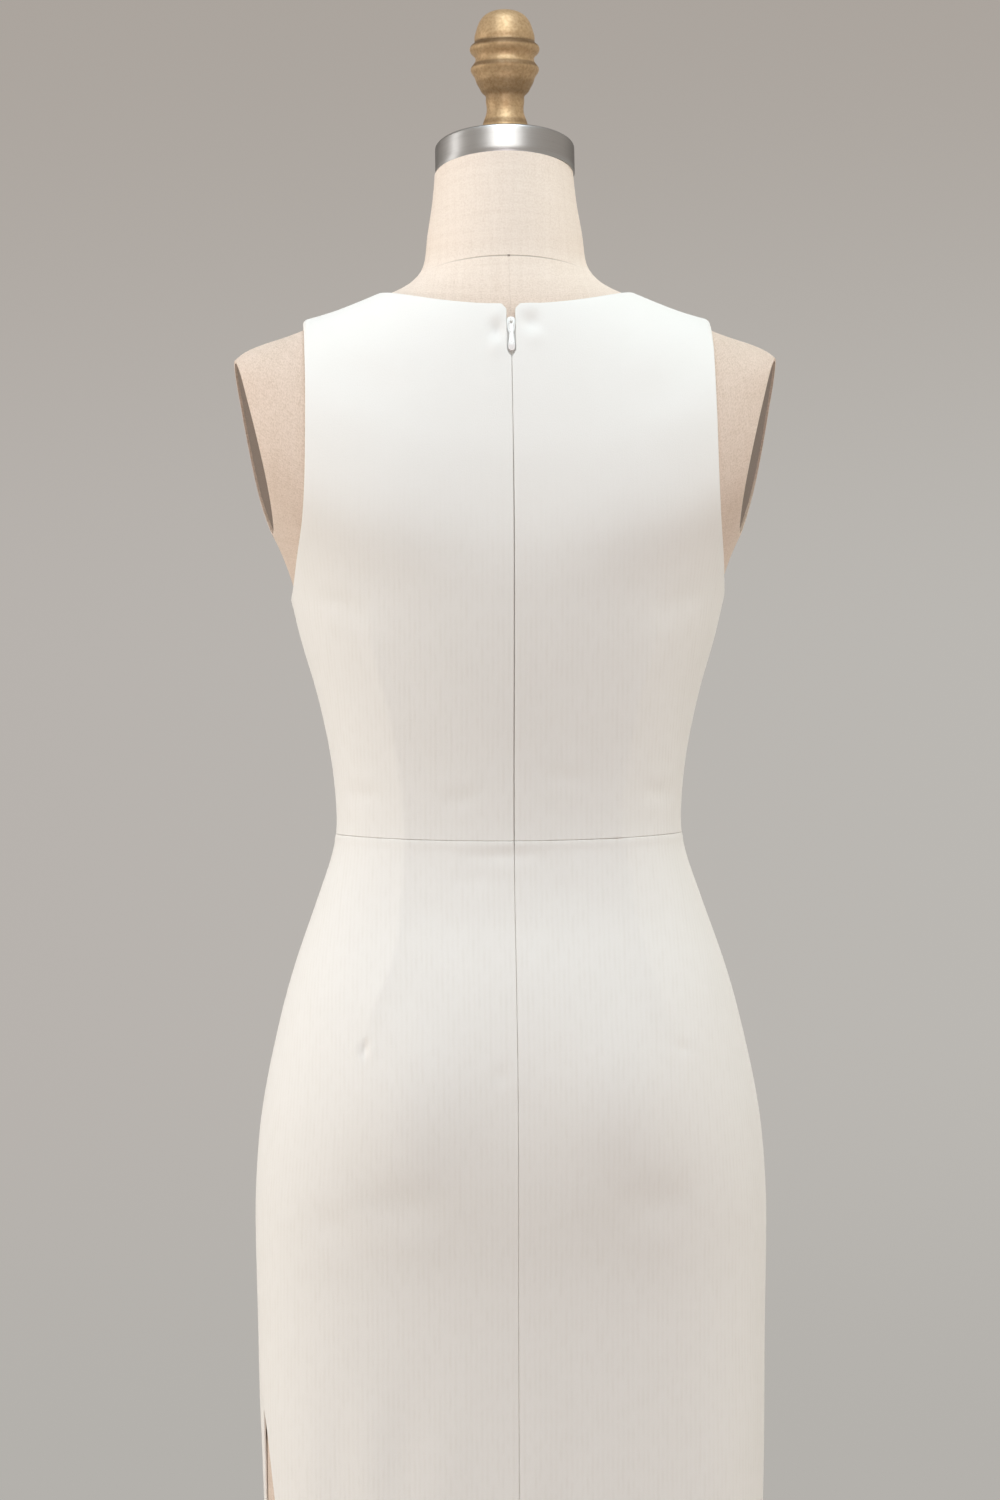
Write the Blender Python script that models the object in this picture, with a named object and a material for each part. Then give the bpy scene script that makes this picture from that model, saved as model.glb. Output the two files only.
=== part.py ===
"""A sleeveless mermaid dress on a limbless dress form, seen closed at the centre back by a zip.

Metres, +Z up. The origin is on the floor, under the middle of the stand. The dress faces -Y, so its
zip is at +Y, and the wearer's left side, with the slit, is at +X.
"""
import math
from collections import namedtuple

import bmesh
import bpy
import numpy as np
from mathutils import Matrix, Vector

# ---------------------------------------------------------------- driving dimensions
WAIST_HEIGHT = 1.050
HEM_HEIGHT = 0.018
SEAM_GAP = 0.0003
CLOTH = 0.0018                # wall of the crepe with its turned allowances
STAND_OFF = 0.0040            # cloth's outer face from the body line
NECK_STAND_OFF = 0.0027       # the same where the shoulder seam meets the neckline
TIP_STAND_OFF = 0.0066        # and at the armhole end of the shoulder seam

KNEE_DROP = 0.600             # below the waist, where the flare starts
FLUTE_DEPTH = 0.013           # of the hem's soft waves
FLUTE_COUNT = 8

FORM_DROP = 0.490             # bottom of the form below the waist
SIDE_TURN = 0.346             # where the left side seam starts to turn to the back, below the waist
SLIT_DROP = 0.396             # top of the side slit below the waist
SLIT_CURVE = 0.028            # its upper part, where the back edge curves away

ZIP_TOP = 0.3600              # above the waist, on the centre back
ZIP_BOTTOM = -0.2650
ZIP_HALF_WIDTH = 0.010
ZIP_TAPE = (0.0010, 0.0015)   # inner and outer face of the tape, from the body line

NECKLINE_HEIGHT = 0.3655      # above the waist, at the centre back
SLOT_HALF_WIDTH = 0.00315     # half the opening between the back edges above the closed zip
SLOT_MOUTH = 0.0060           # half the opening at the rounded neck corners
SLOT_TOP = 0.3605
SLOT_BOTTOM = 0.3330
SLOT_END = 0.3275
SLOT_ROWS = (NECKLINE_HEIGHT, 0.3632, SLOT_TOP, 0.3475, 0.3345, 0.3280, 0.3160)

PULL_HEIGHT = 0.3542          # the pull tab's hinge, above the waist
PULL_OFFSET = 0.00375         # hinge from the body line
PULL_LENGTH = 0.0233
PULL_THICKNESS = 0.0009

NECK_TILT = math.radians(12)
NECK_CUT = Vector((-0.0008, -0.018, WAIST_HEIGHT + 0.4676))
CAP_RADIUS = 0.0496
CAP_HEIGHT = 0.021
FINIAL_TILT = math.radians(3)
FINIAL_OFFSET = Vector((-0.0006, 0.0, 0.0))

ARM_HEIGHT = WAIST_HEIGHT + 0.275
ARM_LEAN = math.radians(10.4)
ARM_RIM = 0.0032
ARM_RECESS = 0.0075
ARM_PLATE = 0.0030

POLE_RADIUS = 0.0125
BASE_HUB_HEIGHT = 0.050

# ---------------------------------------------------------------- sections of the body line
# Each section is a ring round the body. side_z is its height above the waist at the sides, where it is
# half_width from the middle and at side_y. It drops to side_z - drop_back at the centre back and to
# side_z - drop_front at the centre front. fullness squares its corners.
Section = namedtuple("Section", "side_z half_width side_y back front drop_back drop_front fullness")

SECTIONS = (
    Section(0.4900, 0.0480, -0.020, 0.029, -0.0690, -0.010, 0.010, 0.00),
    Section(0.4676, 0.0493, -0.018, 0.0325, -0.0685, -0.010, 0.010, 0.00),
    Section(0.4420, 0.0520, -0.014, 0.039, -0.0670, -0.006, 0.014, 0.00),
    Section(0.4180, 0.0556, -0.010, 0.0450, -0.0655, -0.003, 0.021, 0.00),
    Section(0.3995, 0.0590, -0.007, 0.0500, -0.0650, -0.002, 0.031, 0.00),
    Section(0.3890, 0.0680, -0.004, 0.0570, -0.0665, 0.0035, 0.046, 0.02),
    Section(0.3788, 0.0890, -0.002, 0.0680, -0.0730, 0.0133, 0.066, 0.05),
    Section(0.3650, 0.1200, 0.000, 0.0805, -0.0845, 0.0315, 0.088, 0.08),
    Section(0.3556, 0.1430, 0.000, 0.0885, -0.0935, 0.0500, 0.103, 0.10),
    Section(0.3489, 0.1600, 0.000, 0.0935, -0.0990, 0.0645, 0.112, 0.10),
    Section(0.3347, 0.1850, 0.000, 0.0985, -0.1045, 0.0785, 0.116, 0.10),
    Section(0.3130, 0.1965, 0.000, 0.1013, -0.1090, 0.0835, 0.112, 0.10),
    Section(0.2820, 0.1980, 0.000, 0.1025, -0.1125, 0.0750, 0.098, 0.10),
    Section(0.2460, 0.1855, 0.000, 0.1022, -0.1140, 0.0540, 0.070, 0.10),
    Section(0.2096, 0.1648, 0.000, 0.1012, -0.1150, 0.0320, 0.041, 0.10),
    Section(0.1760, 0.1515, 0.000, 0.0992, -0.1155, 0.0140, 0.018, 0.10),
    Section(0.1380, 0.1420, 0.000, 0.0952, -0.1150, 0.0030, 0.004, 0.10),
    Section(0.1100, 0.1337, 0.000, 0.0907, -0.1125, 0.0, 0.0, 0.10),
    Section(0.0810, 0.1265, 0.000, 0.0852, -0.1075, 0.0, 0.0, 0.10),
    Section(0.0530, 0.1212, 0.000, 0.0800, -0.1015, 0.0014, 0.0, 0.09),
    Section(0.0250, 0.1182, 0.000, 0.0763, -0.0962, 0.0030, 0.0, 0.08),
    Section(0.0000, 0.1182, 0.000, 0.0750, -0.0935, 0.0038, 0.0, 0.08),
    Section(-0.0320, 0.1267, 0.000, 0.0782, -0.0940, 0.0028, 0.0, 0.08),
    Section(-0.0600, 0.1366, 0.000, 0.0840, -0.0965, 0.0014, 0.0, 0.08),
    Section(-0.0880, 0.1464, 0.000, 0.0925, -0.0995, 0.0004, 0.0, 0.08),
    Section(-0.1170, 0.1550, 0.000, 0.1005, -0.1020, 0.0, 0.0, 0.08),
    Section(-0.1450, 0.1618, 0.000, 0.1060, -0.1040, 0.0, 0.0, 0.08),
    Section(-0.1732, 0.1678, 0.000, 0.1090, -0.1050, 0.0, 0.0, 0.08),
    Section(-0.2015, 0.1724, 0.000, 0.1095, -0.1055, 0.0, 0.0, 0.08),
    Section(-0.2300, 0.1750, 0.000, 0.1080, -0.1055, 0.0, 0.0, 0.08),
    Section(-0.2580, 0.1763, 0.000, 0.1055, -0.1045, 0.0, 0.0, 0.08),
    Section(-0.2860, 0.1763, 0.000, 0.1025, -0.1035, 0.0, 0.0, 0.08),
    Section(-0.3430, 0.1751, 0.000, 0.0980, -0.1015, 0.0, 0.0, 0.08),
    Section(-0.4000, 0.1744, 0.000, 0.0955, -0.0995, 0.0, 0.0, 0.08),
    Section(-0.4700, 0.1730, 0.000, 0.0940, -0.0975, 0.0, 0.0, 0.08),
    Section(-0.5600, 0.1690, 0.000, 0.0930, -0.0950, 0.0, 0.0, 0.07),
    Section(-0.6400, 0.1680, 0.000, 0.0950, -0.0960, 0.0, 0.0, 0.06),
    Section(-0.7200, 0.1740, 0.000, 0.1040, -0.1040, 0.0, 0.0, 0.05),
    Section(-0.8000, 0.1890, 0.000, 0.1210, -0.1200, 0.0, 0.0, 0.03),
    Section(-0.8800, 0.2130, 0.000, 0.1460, -0.1440, 0.0, 0.0, 0.02),
    Section(-0.9600, 0.2470, 0.000, 0.1800, -0.1770, 0.0, 0.0, 0.00),
    Section(-1.0600, 0.3010, 0.000, 0.2350, -0.2310, 0.0, 0.0, 0.00),
)

# Soft mounds on the body line: centre across and up, spread across and up, height.
Mound = namedtuple("Mound", "face across up spread_across spread_up height")

MOUNDS = (
    Mound(-1, 0.082, 0.152, 0.052, 0.058, 0.0150),    # bust
    Mound(-1, 0.000, 0.130, 0.045, 0.060, -0.0015),
    Mound(1, 0.080, 0.235, 0.050, 0.060, 0.0030),     # shoulder blades
    Mound(1, 0.078, -0.185, 0.050, 0.062, 0.0075),    # seat
    Mound(-1, 0.000, -0.110, 0.080, 0.070, 0.0040),   # stomach
)

# Half distance between the armhole's edges, from the shoulder seam (0) to the underarm (1).
ArmholeRow = namedtuple("ArmholeRow", "down back front")

ARMHOLE = (
    ArmholeRow(0.00, 0.1415, 0.1415),
    ArmholeRow(0.20, 0.1410, 0.1375),
    ArmholeRow(0.45, 0.1415, 0.1350),
    ArmholeRow(0.70, 0.1433, 0.1370),
    ArmholeRow(0.88, 0.1462, 0.1430),
    ArmholeRow(0.94, 0.1473, 0.1455),
    ArmholeRow(1.00, 0.1490, 0.1490),
)
SHOULDER_Z = 0.3563           # side_z of the shoulder seam's outer end
UNDERARM_Z = 0.1660

# Each arm end's plane: its side, its distance from the middle at ARM_HEIGHT and its turn to the back.
Arm = namedtuple("Arm", "name side across yaw_degrees")

ARMS = (
    Arm("arm_plate_left", 1, 0.1818, 5.6),
    Arm("arm_plate_right", -1, 0.1803, 9.2),
)

# Left edges of the skirt's back and front, from the side line to the back and to the front. They are a
# seam apart down to the slit's top, and hang free below it.
SlitRow = namedtuple("SlitRow", "drop back front")

SLIT = (
    SlitRow(0.346, 0.00015, 0.00015),
    SlitRow(0.362, 0.00595, -0.00565),
    SlitRow(0.380, 0.01395, -0.01365),
    SlitRow(0.396, 0.01995, -0.01965),
    SlitRow(0.410, 0.02500, -0.02050),
    SlitRow(0.440, 0.03200, -0.02060),
    SlitRow(0.480, 0.03850, -0.01950),
    SlitRow(0.560, 0.04500, -0.01200),
    SlitRow(0.700, 0.05000, 0.00300),
    SlitRow(0.860, 0.05500, 0.01700),
    SlitRow(1.040, 0.06200, 0.03000),
)

# Turned profiles: radius and height.
FINIAL_PROFILE = (
    (0.0000, 0.5870), (0.0085, 0.5858), (0.0145, 0.5826), (0.0183, 0.5775), (0.0204, 0.5715),
    (0.0215, 0.5655), (0.0216, 0.5630), (0.0238, 0.5612), (0.0249, 0.5586), (0.0238, 0.5558),
    (0.0213, 0.5532), (0.0209, 0.5505), (0.0230, 0.5468), (0.0244, 0.5442), (0.0234, 0.5414),
    (0.0217, 0.5388), (0.0202, 0.5345), (0.0183, 0.5310), (0.0167, 0.5280), (0.0142, 0.5257),
    (0.0137, 0.5225), (0.0131, 0.5160), (0.0136, 0.5118), (0.0150, 0.5078), (0.0166, 0.5020),
    (0.0172, 0.4780), (0.0000, 0.4780),
)
CAP_PROFILE = (
    (0.0000, CAP_HEIGHT), (CAP_RADIUS - 0.0026, CAP_HEIGHT), (CAP_RADIUS - 0.0008, CAP_HEIGHT - 0.0006),
    (CAP_RADIUS, CAP_HEIGHT - 0.0022), (CAP_RADIUS, 0.0008), (CAP_RADIUS - 0.0006, 0.0), (0.0, 0.0),
)
BASE_PROFILE = (
    (0.0000, BASE_HUB_HEIGHT), (0.0200, BASE_HUB_HEIGHT), (0.0215, BASE_HUB_HEIGHT - 0.0015),
    (0.0225, 0.0320), (0.0300, 0.0225), (0.0550, 0.0165), (0.1200, 0.0115), (0.1440, 0.0095),
    (0.1490, 0.0070), (0.1500, 0.0040), (0.1490, 0.0000), (0.0000, 0.0000),
)

# Faces round and down each piece.
TORSO_SEGMENTS = 48
NECK_ROWS, SHOULDER_ROWS, TRUNK_ROWS = 8, 18, 19
BODICE_FRONT_COLUMNS, BODICE_BACK_COLUMNS = 20, 10
ARMHOLE_ROWS, BODICE_SIDE_ROWS = 11, 7
SKIRT_FRONT_COLUMNS, SKIRT_BACK_COLUMNS = 24, 12
HIP_ROWS, SEAM_TURN_ROWS, SKIRT_ROWS = 12, 3, 11
TAPE_ROWS = 30
CAP_SEGMENTS, FINIAL_SEGMENTS, BASE_SEGMENTS, POLE_SEGMENTS = 36, 20, 32, 16

CENTRE_BACK = math.pi / 2
CENTRE_FRONT = -math.pi / 2


class Spline:
    """A natural cubic spline through named columns of a table."""

    def __init__(self, places, columns):
        self.places = np.asarray(places, dtype=float)
        self.values = np.asarray(columns, dtype=float)
        count = len(self.places)
        steps = np.diff(self.places)
        slopes = np.diff(self.values, axis=0) / steps[:, None]
        matrix = np.eye(count)
        right = np.zeros_like(self.values)
        for row in range(1, count - 1):
            matrix[row, row - 1] = steps[row - 1]
            matrix[row, row] = 2 * (steps[row - 1] + steps[row])
            matrix[row, row + 1] = steps[row]
            right[row] = 6 * (slopes[row] - slopes[row - 1])
        self.bends = np.linalg.solve(matrix, right)

    def at(self, place):
        row = int(np.clip(np.searchsorted(self.places, place) - 1, 0, len(self.places) - 2))
        step = self.places[row + 1] - self.places[row]
        before = (self.places[row + 1] - place) / step
        after = 1 - before
        straight = before * self.values[row] + after * self.values[row + 1]
        bend = (before ** 3 - before) * self.bends[row] + (after ** 3 - after) * self.bends[row + 1]
        return straight + bend * step * step / 6


def section_places():
    """Distance down the side line, from the top section."""
    places = [0.0]
    for upper, lower in zip(SECTIONS, SECTIONS[1:]):
        step = math.hypot(lower.half_width - upper.half_width, lower.side_z - upper.side_z)
        places.append(places[-1] + step)
    return places


PLACES = section_places()
BODY = Spline(PLACES, SECTIONS)
ARMHOLE_LINE = Spline([row.down for row in ARMHOLE], [row[1:] for row in ARMHOLE])
SLIT_LINE = Spline([row.drop for row in SLIT], [row[1:] for row in SLIT])


def section_at(down):
    return Section(*BODY.at(down))


def find_down(height, measure):
    """How far down the side line a falling measure of the section reaches height."""
    low, high = 0.0, PLACES[-1]
    for _ in range(50):
        middle = (low + high) / 2
        if measure(section_at(middle)) > height:
            low = middle
        else:
            high = middle
    return (low + high) / 2


def side_down(height):
    return find_down(height, lambda section: section.side_z)


def back_down(height):
    return find_down(height, lambda section: section.side_z - section.drop_back)


def smooth(low, high, value):
    share = min(max((value - low) / (high - low), 0.0), 1.0)
    return share * share * (3 - 2 * share)


def body_point(angle, down):
    """Point of the body line: angle 0 is the left side, a quarter turn is the centre back."""
    section = section_at(down)
    across, along = math.cos(angle), math.sin(angle)
    depth = section.back - section.side_y if along > 0 else section.side_y - section.front
    drop = section.drop_back if along > 0 else section.drop_front
    x = section.half_width * across * (1 + section.fullness * along * along)
    y = section.side_y + depth * along * (1 + section.fullness * across * across)
    z = section.side_z - drop * along * along
    for mound in MOUNDS:
        facing = smooth(0.0, 0.8, along * mound.face)
        for centre in ((mound.across, -mound.across) if mound.across else (0.0,)):
            away = ((x - centre) / mound.spread_across) ** 2 + ((z - mound.up) / mound.spread_up) ** 2
            y += mound.face * facing * mound.height * math.exp(-away)
    below_knee = max(-z - KNEE_DROP, 0.0) / (WAIST_HEIGHT - HEM_HEIGHT - KNEE_DROP)
    wave = math.cos(FLUTE_COUNT * angle + 0.6) + 0.35 * math.cos(5 * angle + 1.9)
    reach = FLUTE_DEPTH * below_knee ** 1.6 * wave
    return Vector((x + across * reach, y + along * reach, WAIST_HEIGHT + z))


def body_normal(angle, down):
    step = 1e-4
    around = body_point(angle + step, down) - body_point(angle - step, down)
    downwards = body_point(angle, down + step) - body_point(angle, down - step)
    return downwards.cross(around).normalized()


NECKLINE = back_down(NECKLINE_HEIGHT)
SHOULDER = side_down(SHOULDER_Z)
UNDERARM = side_down(UNDERARM_Z)
WAIST = side_down(0.0)
SEAM_TURN, SLIT_TOP = side_down(-SIDE_TURN), side_down(-SLIT_DROP)
HEM = side_down(HEM_HEIGHT - WAIST_HEIGHT)
FORM_BOTTOM = side_down(-FORM_DROP)


def stand_off(angle, down):
    """Cloth's outer face from the body line: close at the neck, bridging at the shoulder tip."""
    along_seam = min(max((down - NECKLINE) / (SHOULDER - NECKLINE), 0.0), 1.0)
    seam = NECK_STAND_OFF + (TIP_STAND_OFF - NECK_STAND_OFF) * along_seam ** 2
    near_seam = 1 - smooth(0.0, 0.75, abs(math.sin(angle)))
    near_seam *= 1 - smooth(SHOULDER, SHOULDER + 0.10, down)
    return STAND_OFF + (seam - STAND_OFF) * near_seam


def cloth_point(angle, down, depth):
    return body_point(angle, down) + body_normal(angle, down) * (stand_off(angle, down) - depth)


def shifted(angle, down, distance):
    """The angle moved by a distance along the ring."""
    step = 1e-4
    rate = (body_point(angle + step, down) - body_point(angle - step, down)).length / (2 * step)
    return angle + distance / rate


def armhole_angle(down, column):
    """Angle of the armhole's edge from the side line, 0 above the shoulder and below the underarm."""
    if down <= SHOULDER or down >= UNDERARM:
        return 0.0
    section = section_at(down)
    reach = getattr(ArmholeRow(0.0, *ARMHOLE_LINE.at((down - SHOULDER) / (UNDERARM - SHOULDER))), column)
    low, high = 0.0, CENTRE_BACK
    for _ in range(40):
        middle = (low + high) / 2
        across = math.cos(middle) * (1 + section.fullness * math.sin(middle) ** 2)
        if section.half_width * across > reach:
            low = middle
        else:
            high = middle
    return low


def slot_half_width(height):
    """Half the opening between the back edges at a height above the waist."""
    closed = SEAM_GAP / 2
    slot = closed + (SLOT_HALF_WIDTH - closed) * smooth(SLOT_END, SLOT_BOTTOM, height)
    return slot + (SLOT_MOUTH - SLOT_HALF_WIDTH) * smooth(SLOT_TOP, NECKLINE_HEIGHT, height) ** 2


# ---------------------------------------------------------------- building blocks
def clear_scene():
    for thing in list(bpy.data.objects):
        bpy.data.objects.remove(thing, do_unlink=True)


def finish_material(name, colour, roughness, metallic=0.0):
    material = bpy.data.materials.new(name)
    material.use_nodes = True
    shader = material.node_tree.nodes["Principled BSDF"]
    shader.inputs["Base Color"].default_value = (*colour, 1.0)
    shader.inputs["Roughness"].default_value = roughness
    shader.inputs["Metallic"].default_value = metallic
    return material


def add_object(name, bm, material, smooth_angle=40):
    bmesh.ops.recalc_face_normals(bm, faces=bm.faces)
    mesh = bpy.data.meshes.new(name)
    bm.to_mesh(mesh)
    bm.free()
    mesh.materials.append(material)
    mesh.shade_smooth()
    mesh.set_sharp_from_angle(angle=math.radians(smooth_angle))
    thing = bpy.data.objects.new(name, mesh)
    bpy.context.scene.collection.objects.link(thing)
    return thing


def crepe_point(angle, down, layer):
    """Point on the crepe's outer face (layer 0) or inner face (layer 1)."""
    return cloth_point(angle, down, layer * CLOTH)


def add_wall(name, rows, material, point=crepe_point):
    """A closed wall from a grid of (angle, down) pairs, its two faces given by point."""
    bm = bmesh.new()
    faces = []
    for side in (0, 1):
        faces.append([[bm.verts.new(point(angle, down, side)) for angle, down in row] for row in rows])
    outer, inner = faces
    for grid in faces:
        for upper, lower in zip(grid, grid[1:]):
            for column in range(len(upper) - 1):
                bm.faces.new((upper[column], upper[column + 1], lower[column + 1], lower[column]))
    rims = ((outer[0], inner[0]), (outer[-1], inner[-1]))
    rims += tuple(([row[end] for row in outer], [row[end] for row in inner]) for end in (0, -1))
    for first, second in rims:
        for step in range(len(first) - 1):
            bm.faces.new((first[step], first[step + 1], second[step + 1], second[step]))
    return add_object(name, bm, material)


def turned(profile, segments):
    """A closed solid of revolution about Z."""
    bm = bmesh.new()
    verts = [bm.verts.new((radius, 0.0, height)) for radius, height in profile]
    edges = [bm.edges.new(pair) for pair in zip(verts, verts[1:])]
    bmesh.ops.spin(bm, geom=verts + edges, cent=(0, 0, 0), axis=(0, 0, 1), angle=2 * math.pi,
                   steps=segments, use_merge=True)
    bmesh.ops.remove_doubles(bm, verts=bm.verts, dist=1e-6)
    return bm


def cut_flat(bm, point, normal, floor=-math.inf):
    """Removes what lies beyond a plane and above floor, and closes the cut, returning the new face."""
    faces = [face for face in bm.faces if face.calc_center_median().z > floor]
    edges = {edge for face in faces for edge in face.edges}
    verts = {vert for face in faces for vert in face.verts}
    cut = bmesh.ops.bisect_plane(bm, geom=faces + list(edges) + list(verts), dist=1e-6, plane_co=point,
                                 plane_no=normal, clear_outer=True)
    rim = [thing for thing in cut["geom_cut"] if isinstance(thing, bmesh.types.BMEdge)]
    return bmesh.ops.contextual_create(bm, geom=rim)["faces"][0]


def arm_normal(arm):
    yaw = math.radians(arm.yaw_degrees)
    return Vector((arm.side * math.cos(yaw) * math.cos(ARM_LEAN), math.sin(yaw) * math.cos(ARM_LEAN),
                   -math.sin(ARM_LEAN)))


# ---------------------------------------------------------------- the dress
def spread(start, end, count):
    return [start + (end - start) * step / count for step in range(count)]


def bodice_rows():
    """Downs of the bodice's rows, close together at the slot, the shoulder and the underarm."""
    rows = [back_down(height) for height in SLOT_ROWS]
    for step in range(ARMHOLE_ROWS):
        rows.append(SHOULDER + (UNDERARM - SHOULDER) * (1 - math.cos(math.pi * step / ARMHOLE_ROWS)) / 2)
    return rows + spread(UNDERARM, WAIST, BODICE_SIDE_ROWS) + [WAIST - SEAM_GAP / 2]


def bodice_back(side, material):
    rows = []
    for down in bodice_rows():
        point = body_point(CENTRE_BACK, down)
        centre = shifted(CENTRE_BACK, down, -slot_half_width(point.z - WAIST_HEIGHT))
        edge = armhole_angle(down, "back")
        if edge == 0.0:
            edge = shifted(0.0, down, SEAM_GAP / 2)
        angles = spread(centre, edge, BODICE_BACK_COLUMNS) + [edge]
        rows.append([(angle if side > 0 else math.pi - angle, down) for angle in angles])
    return add_wall("bodice_back_left" if side > 0 else "bodice_back_right", rows, material)


def bodice_front(material):
    rows = []
    for down in bodice_rows():
        edge = armhole_angle(down, "front")
        if edge == 0.0:
            edge = shifted(0.0, down, SEAM_GAP / 2)
        angles = spread(-edge, edge - math.pi, BODICE_FRONT_COLUMNS) + [edge - math.pi]
        rows.append([(angle, down) for angle in angles])
    return add_wall("bodice_front", rows, material)


def skirt_rows():
    hip = [WAIST + SEAM_GAP / 2] + spread(WAIST, SEAM_TURN, HIP_ROWS)[1:]
    turn = spread(SEAM_TURN, SLIT_TOP, SEAM_TURN_ROWS)
    return hip + turn + [SLIT_TOP] + spread(SLIT_TOP + SLIT_CURVE, HEM, SKIRT_ROWS) + [HEM]


def slit_edge(down, column):
    """Angle of a panel's left edge from the left side line."""
    drop = -section_at(down).side_z
    if drop <= SIDE_TURN:
        return shifted(0.0, down, SEAM_GAP / 2)
    return shifted(0.0, down, getattr(SlitRow(0.0, *SLIT_LINE.at(drop)), column))


def skirt_back(side, material):
    rows = []
    for down in skirt_rows():
        centre = shifted(CENTRE_BACK, down, -SEAM_GAP / 2)
        edge = slit_edge(down, "back") if side > 0 else shifted(0.0, down, SEAM_GAP / 2)
        angles = spread(centre, edge, SKIRT_BACK_COLUMNS) + [edge]
        rows.append([(angle if side > 0 else math.pi - angle, down) for angle in angles])
    return add_wall("skirt_back_left" if side > 0 else "skirt_back_right", rows, material)


def skirt_front(material):
    rows = []
    for down in skirt_rows():
        left = -slit_edge(down, "front")
        right = shifted(0.0, down, SEAM_GAP / 2) - math.pi
        angles = spread(left, right, SKIRT_FRONT_COLUMNS) + [right]
        rows.append([(angle, down) for angle in angles])
    return add_wall("skirt_front", rows, material)


# ---------------------------------------------------------------- the zip
def zip_tape(material):
    top, bottom = back_down(ZIP_TOP), back_down(ZIP_BOTTOM)
    rows = []
    for down in spread(top, bottom, TAPE_ROWS) + [bottom]:
        half = shifted(CENTRE_BACK, down, ZIP_HALF_WIDTH) - CENTRE_BACK
        rows.append([(CENTRE_BACK - half, down), (CENTRE_BACK, down), (CENTRE_BACK + half, down)])

    def point(angle, down, layer):
        return body_point(angle, down) + body_normal(angle, down) * ZIP_TAPE[1 - layer]

    return add_wall("zip_tape", rows, material, point)


def pull_frame():
    """Origin on the pull's hinge, with X across, Y out of the back and Z up the back."""
    top = body_point(CENTRE_BACK, back_down(PULL_HEIGHT))
    foot = body_point(CENTRE_BACK, back_down(PULL_HEIGHT - PULL_LENGTH))
    up = (top - foot).normalized()
    out = up.cross(Vector((1, 0, 0))).normalized()
    frame = Matrix(((1, out.x, up.x), (0, out.y, up.y), (0, out.z, up.z))).to_4x4()
    frame.translation = top + out * PULL_OFFSET
    return frame


def extruded(outline, low, high, axis):
    """A closed prism on an outline, from low to high along axis 0 (X) or 1 (Y)."""
    bm = bmesh.new()
    if axis == 0:
        verts = [bm.verts.new((low, first, second)) for first, second in outline]
        push = Vector((high - low, 0, 0))
    else:
        verts = [bm.verts.new((first, low, second)) for first, second in outline]
        push = Vector((0, high - low, 0))
    face = bm.faces.new(verts)
    moved = bmesh.ops.extrude_face_region(bm, geom=[face], use_keep_orig=True)["geom"]
    bmesh.ops.translate(bm, vec=push, verts=[vert for vert in moved if isinstance(vert, bmesh.types.BMVert)])
    return bm


def rounded_outline(pairs):
    """A mirrored outline from (half width, height) pairs listed from top to bottom."""
    left = [(-half, height) for half, height in reversed(pairs)]
    return list(pairs) + left


def hide_cutter(cutter):
    cutter.hide_render = True
    cutter.display_type = "WIRE"


def add_boolean(thing, cutter, operation):
    modifier = thing.modifiers.new(operation.title(), "BOOLEAN")
    modifier.operation = operation
    modifier.solver = "EXACT"
    modifier.object = cutter
    hide_cutter(cutter)


def zip_slider(frame, material):
    body_low = 0.0019 - PULL_OFFSET
    body_high = 0.0030 - PULL_OFFSET
    body_outline = rounded_outline(((0.0016, 0.0026), (0.0024, 0.0021), (0.0027, 0.0010), (0.0027, -0.0040),
                                    (0.0023, -0.0080), (0.0016, -0.0092)))
    slider = add_object("zip_slider", extruded(body_outline, body_low, body_high, 1), material)
    slider.matrix_world = frame
    sunk = body_high - 0.0004
    bridge_outline = ((sunk, 0.0018), (0.0012, 0.0018), (0.00155, 0.0014), (0.00155, -0.0014),
                      (0.0012, -0.0018), (sunk, -0.0018), (sunk, -0.0010), (0.00075, -0.0010),
                      (0.00075, 0.0010), (sunk, 0.0010))
    bridge = add_object("slider_bridge", extruded(bridge_outline, -0.0006, 0.0006, 0), material)
    bridge.matrix_world = frame
    add_boolean(slider, bridge, "UNION")
    return slider


def zip_pull(frame, material):
    half = PULL_THICKNESS / 2
    end = -PULL_LENGTH
    outline = rounded_outline((
        (0.0013, 0.00045), (0.0018, 0.00005), (0.0018, -0.0026), (0.0014, -0.0040), (0.0015, -0.0085),
        (0.0019, end + 0.0080), (0.0023, end + 0.0050), (0.0024, end + 0.0034), (0.0022, end + 0.0018),
        (0.0016, end + 0.0007), (0.0007, end + 0.0001)))
    pull = add_object("zip_pull", extruded(outline, -half, half, 1), material)
    pull.matrix_world = frame
    eye_outline = ((-0.00095, -0.0004), (0.00095, -0.0004), (0.00095, -0.0028), (-0.00095, -0.0028))
    eye = add_object("pull_eye", extruded(eye_outline, -0.002, 0.002, 1), material)
    eye.matrix_world = frame
    add_boolean(pull, eye, "DIFFERENCE")
    return pull


# ---------------------------------------------------------------- the form and its stand
def torso_rows():
    neck = spread(0.0, NECKLINE, NECK_ROWS)
    shoulder = spread(NECKLINE, UNDERARM, SHOULDER_ROWS)
    trunk = spread(UNDERARM, FORM_BOTTOM, TRUNK_ROWS)
    return neck + shoulder + trunk + [FORM_BOTTOM]


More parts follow.
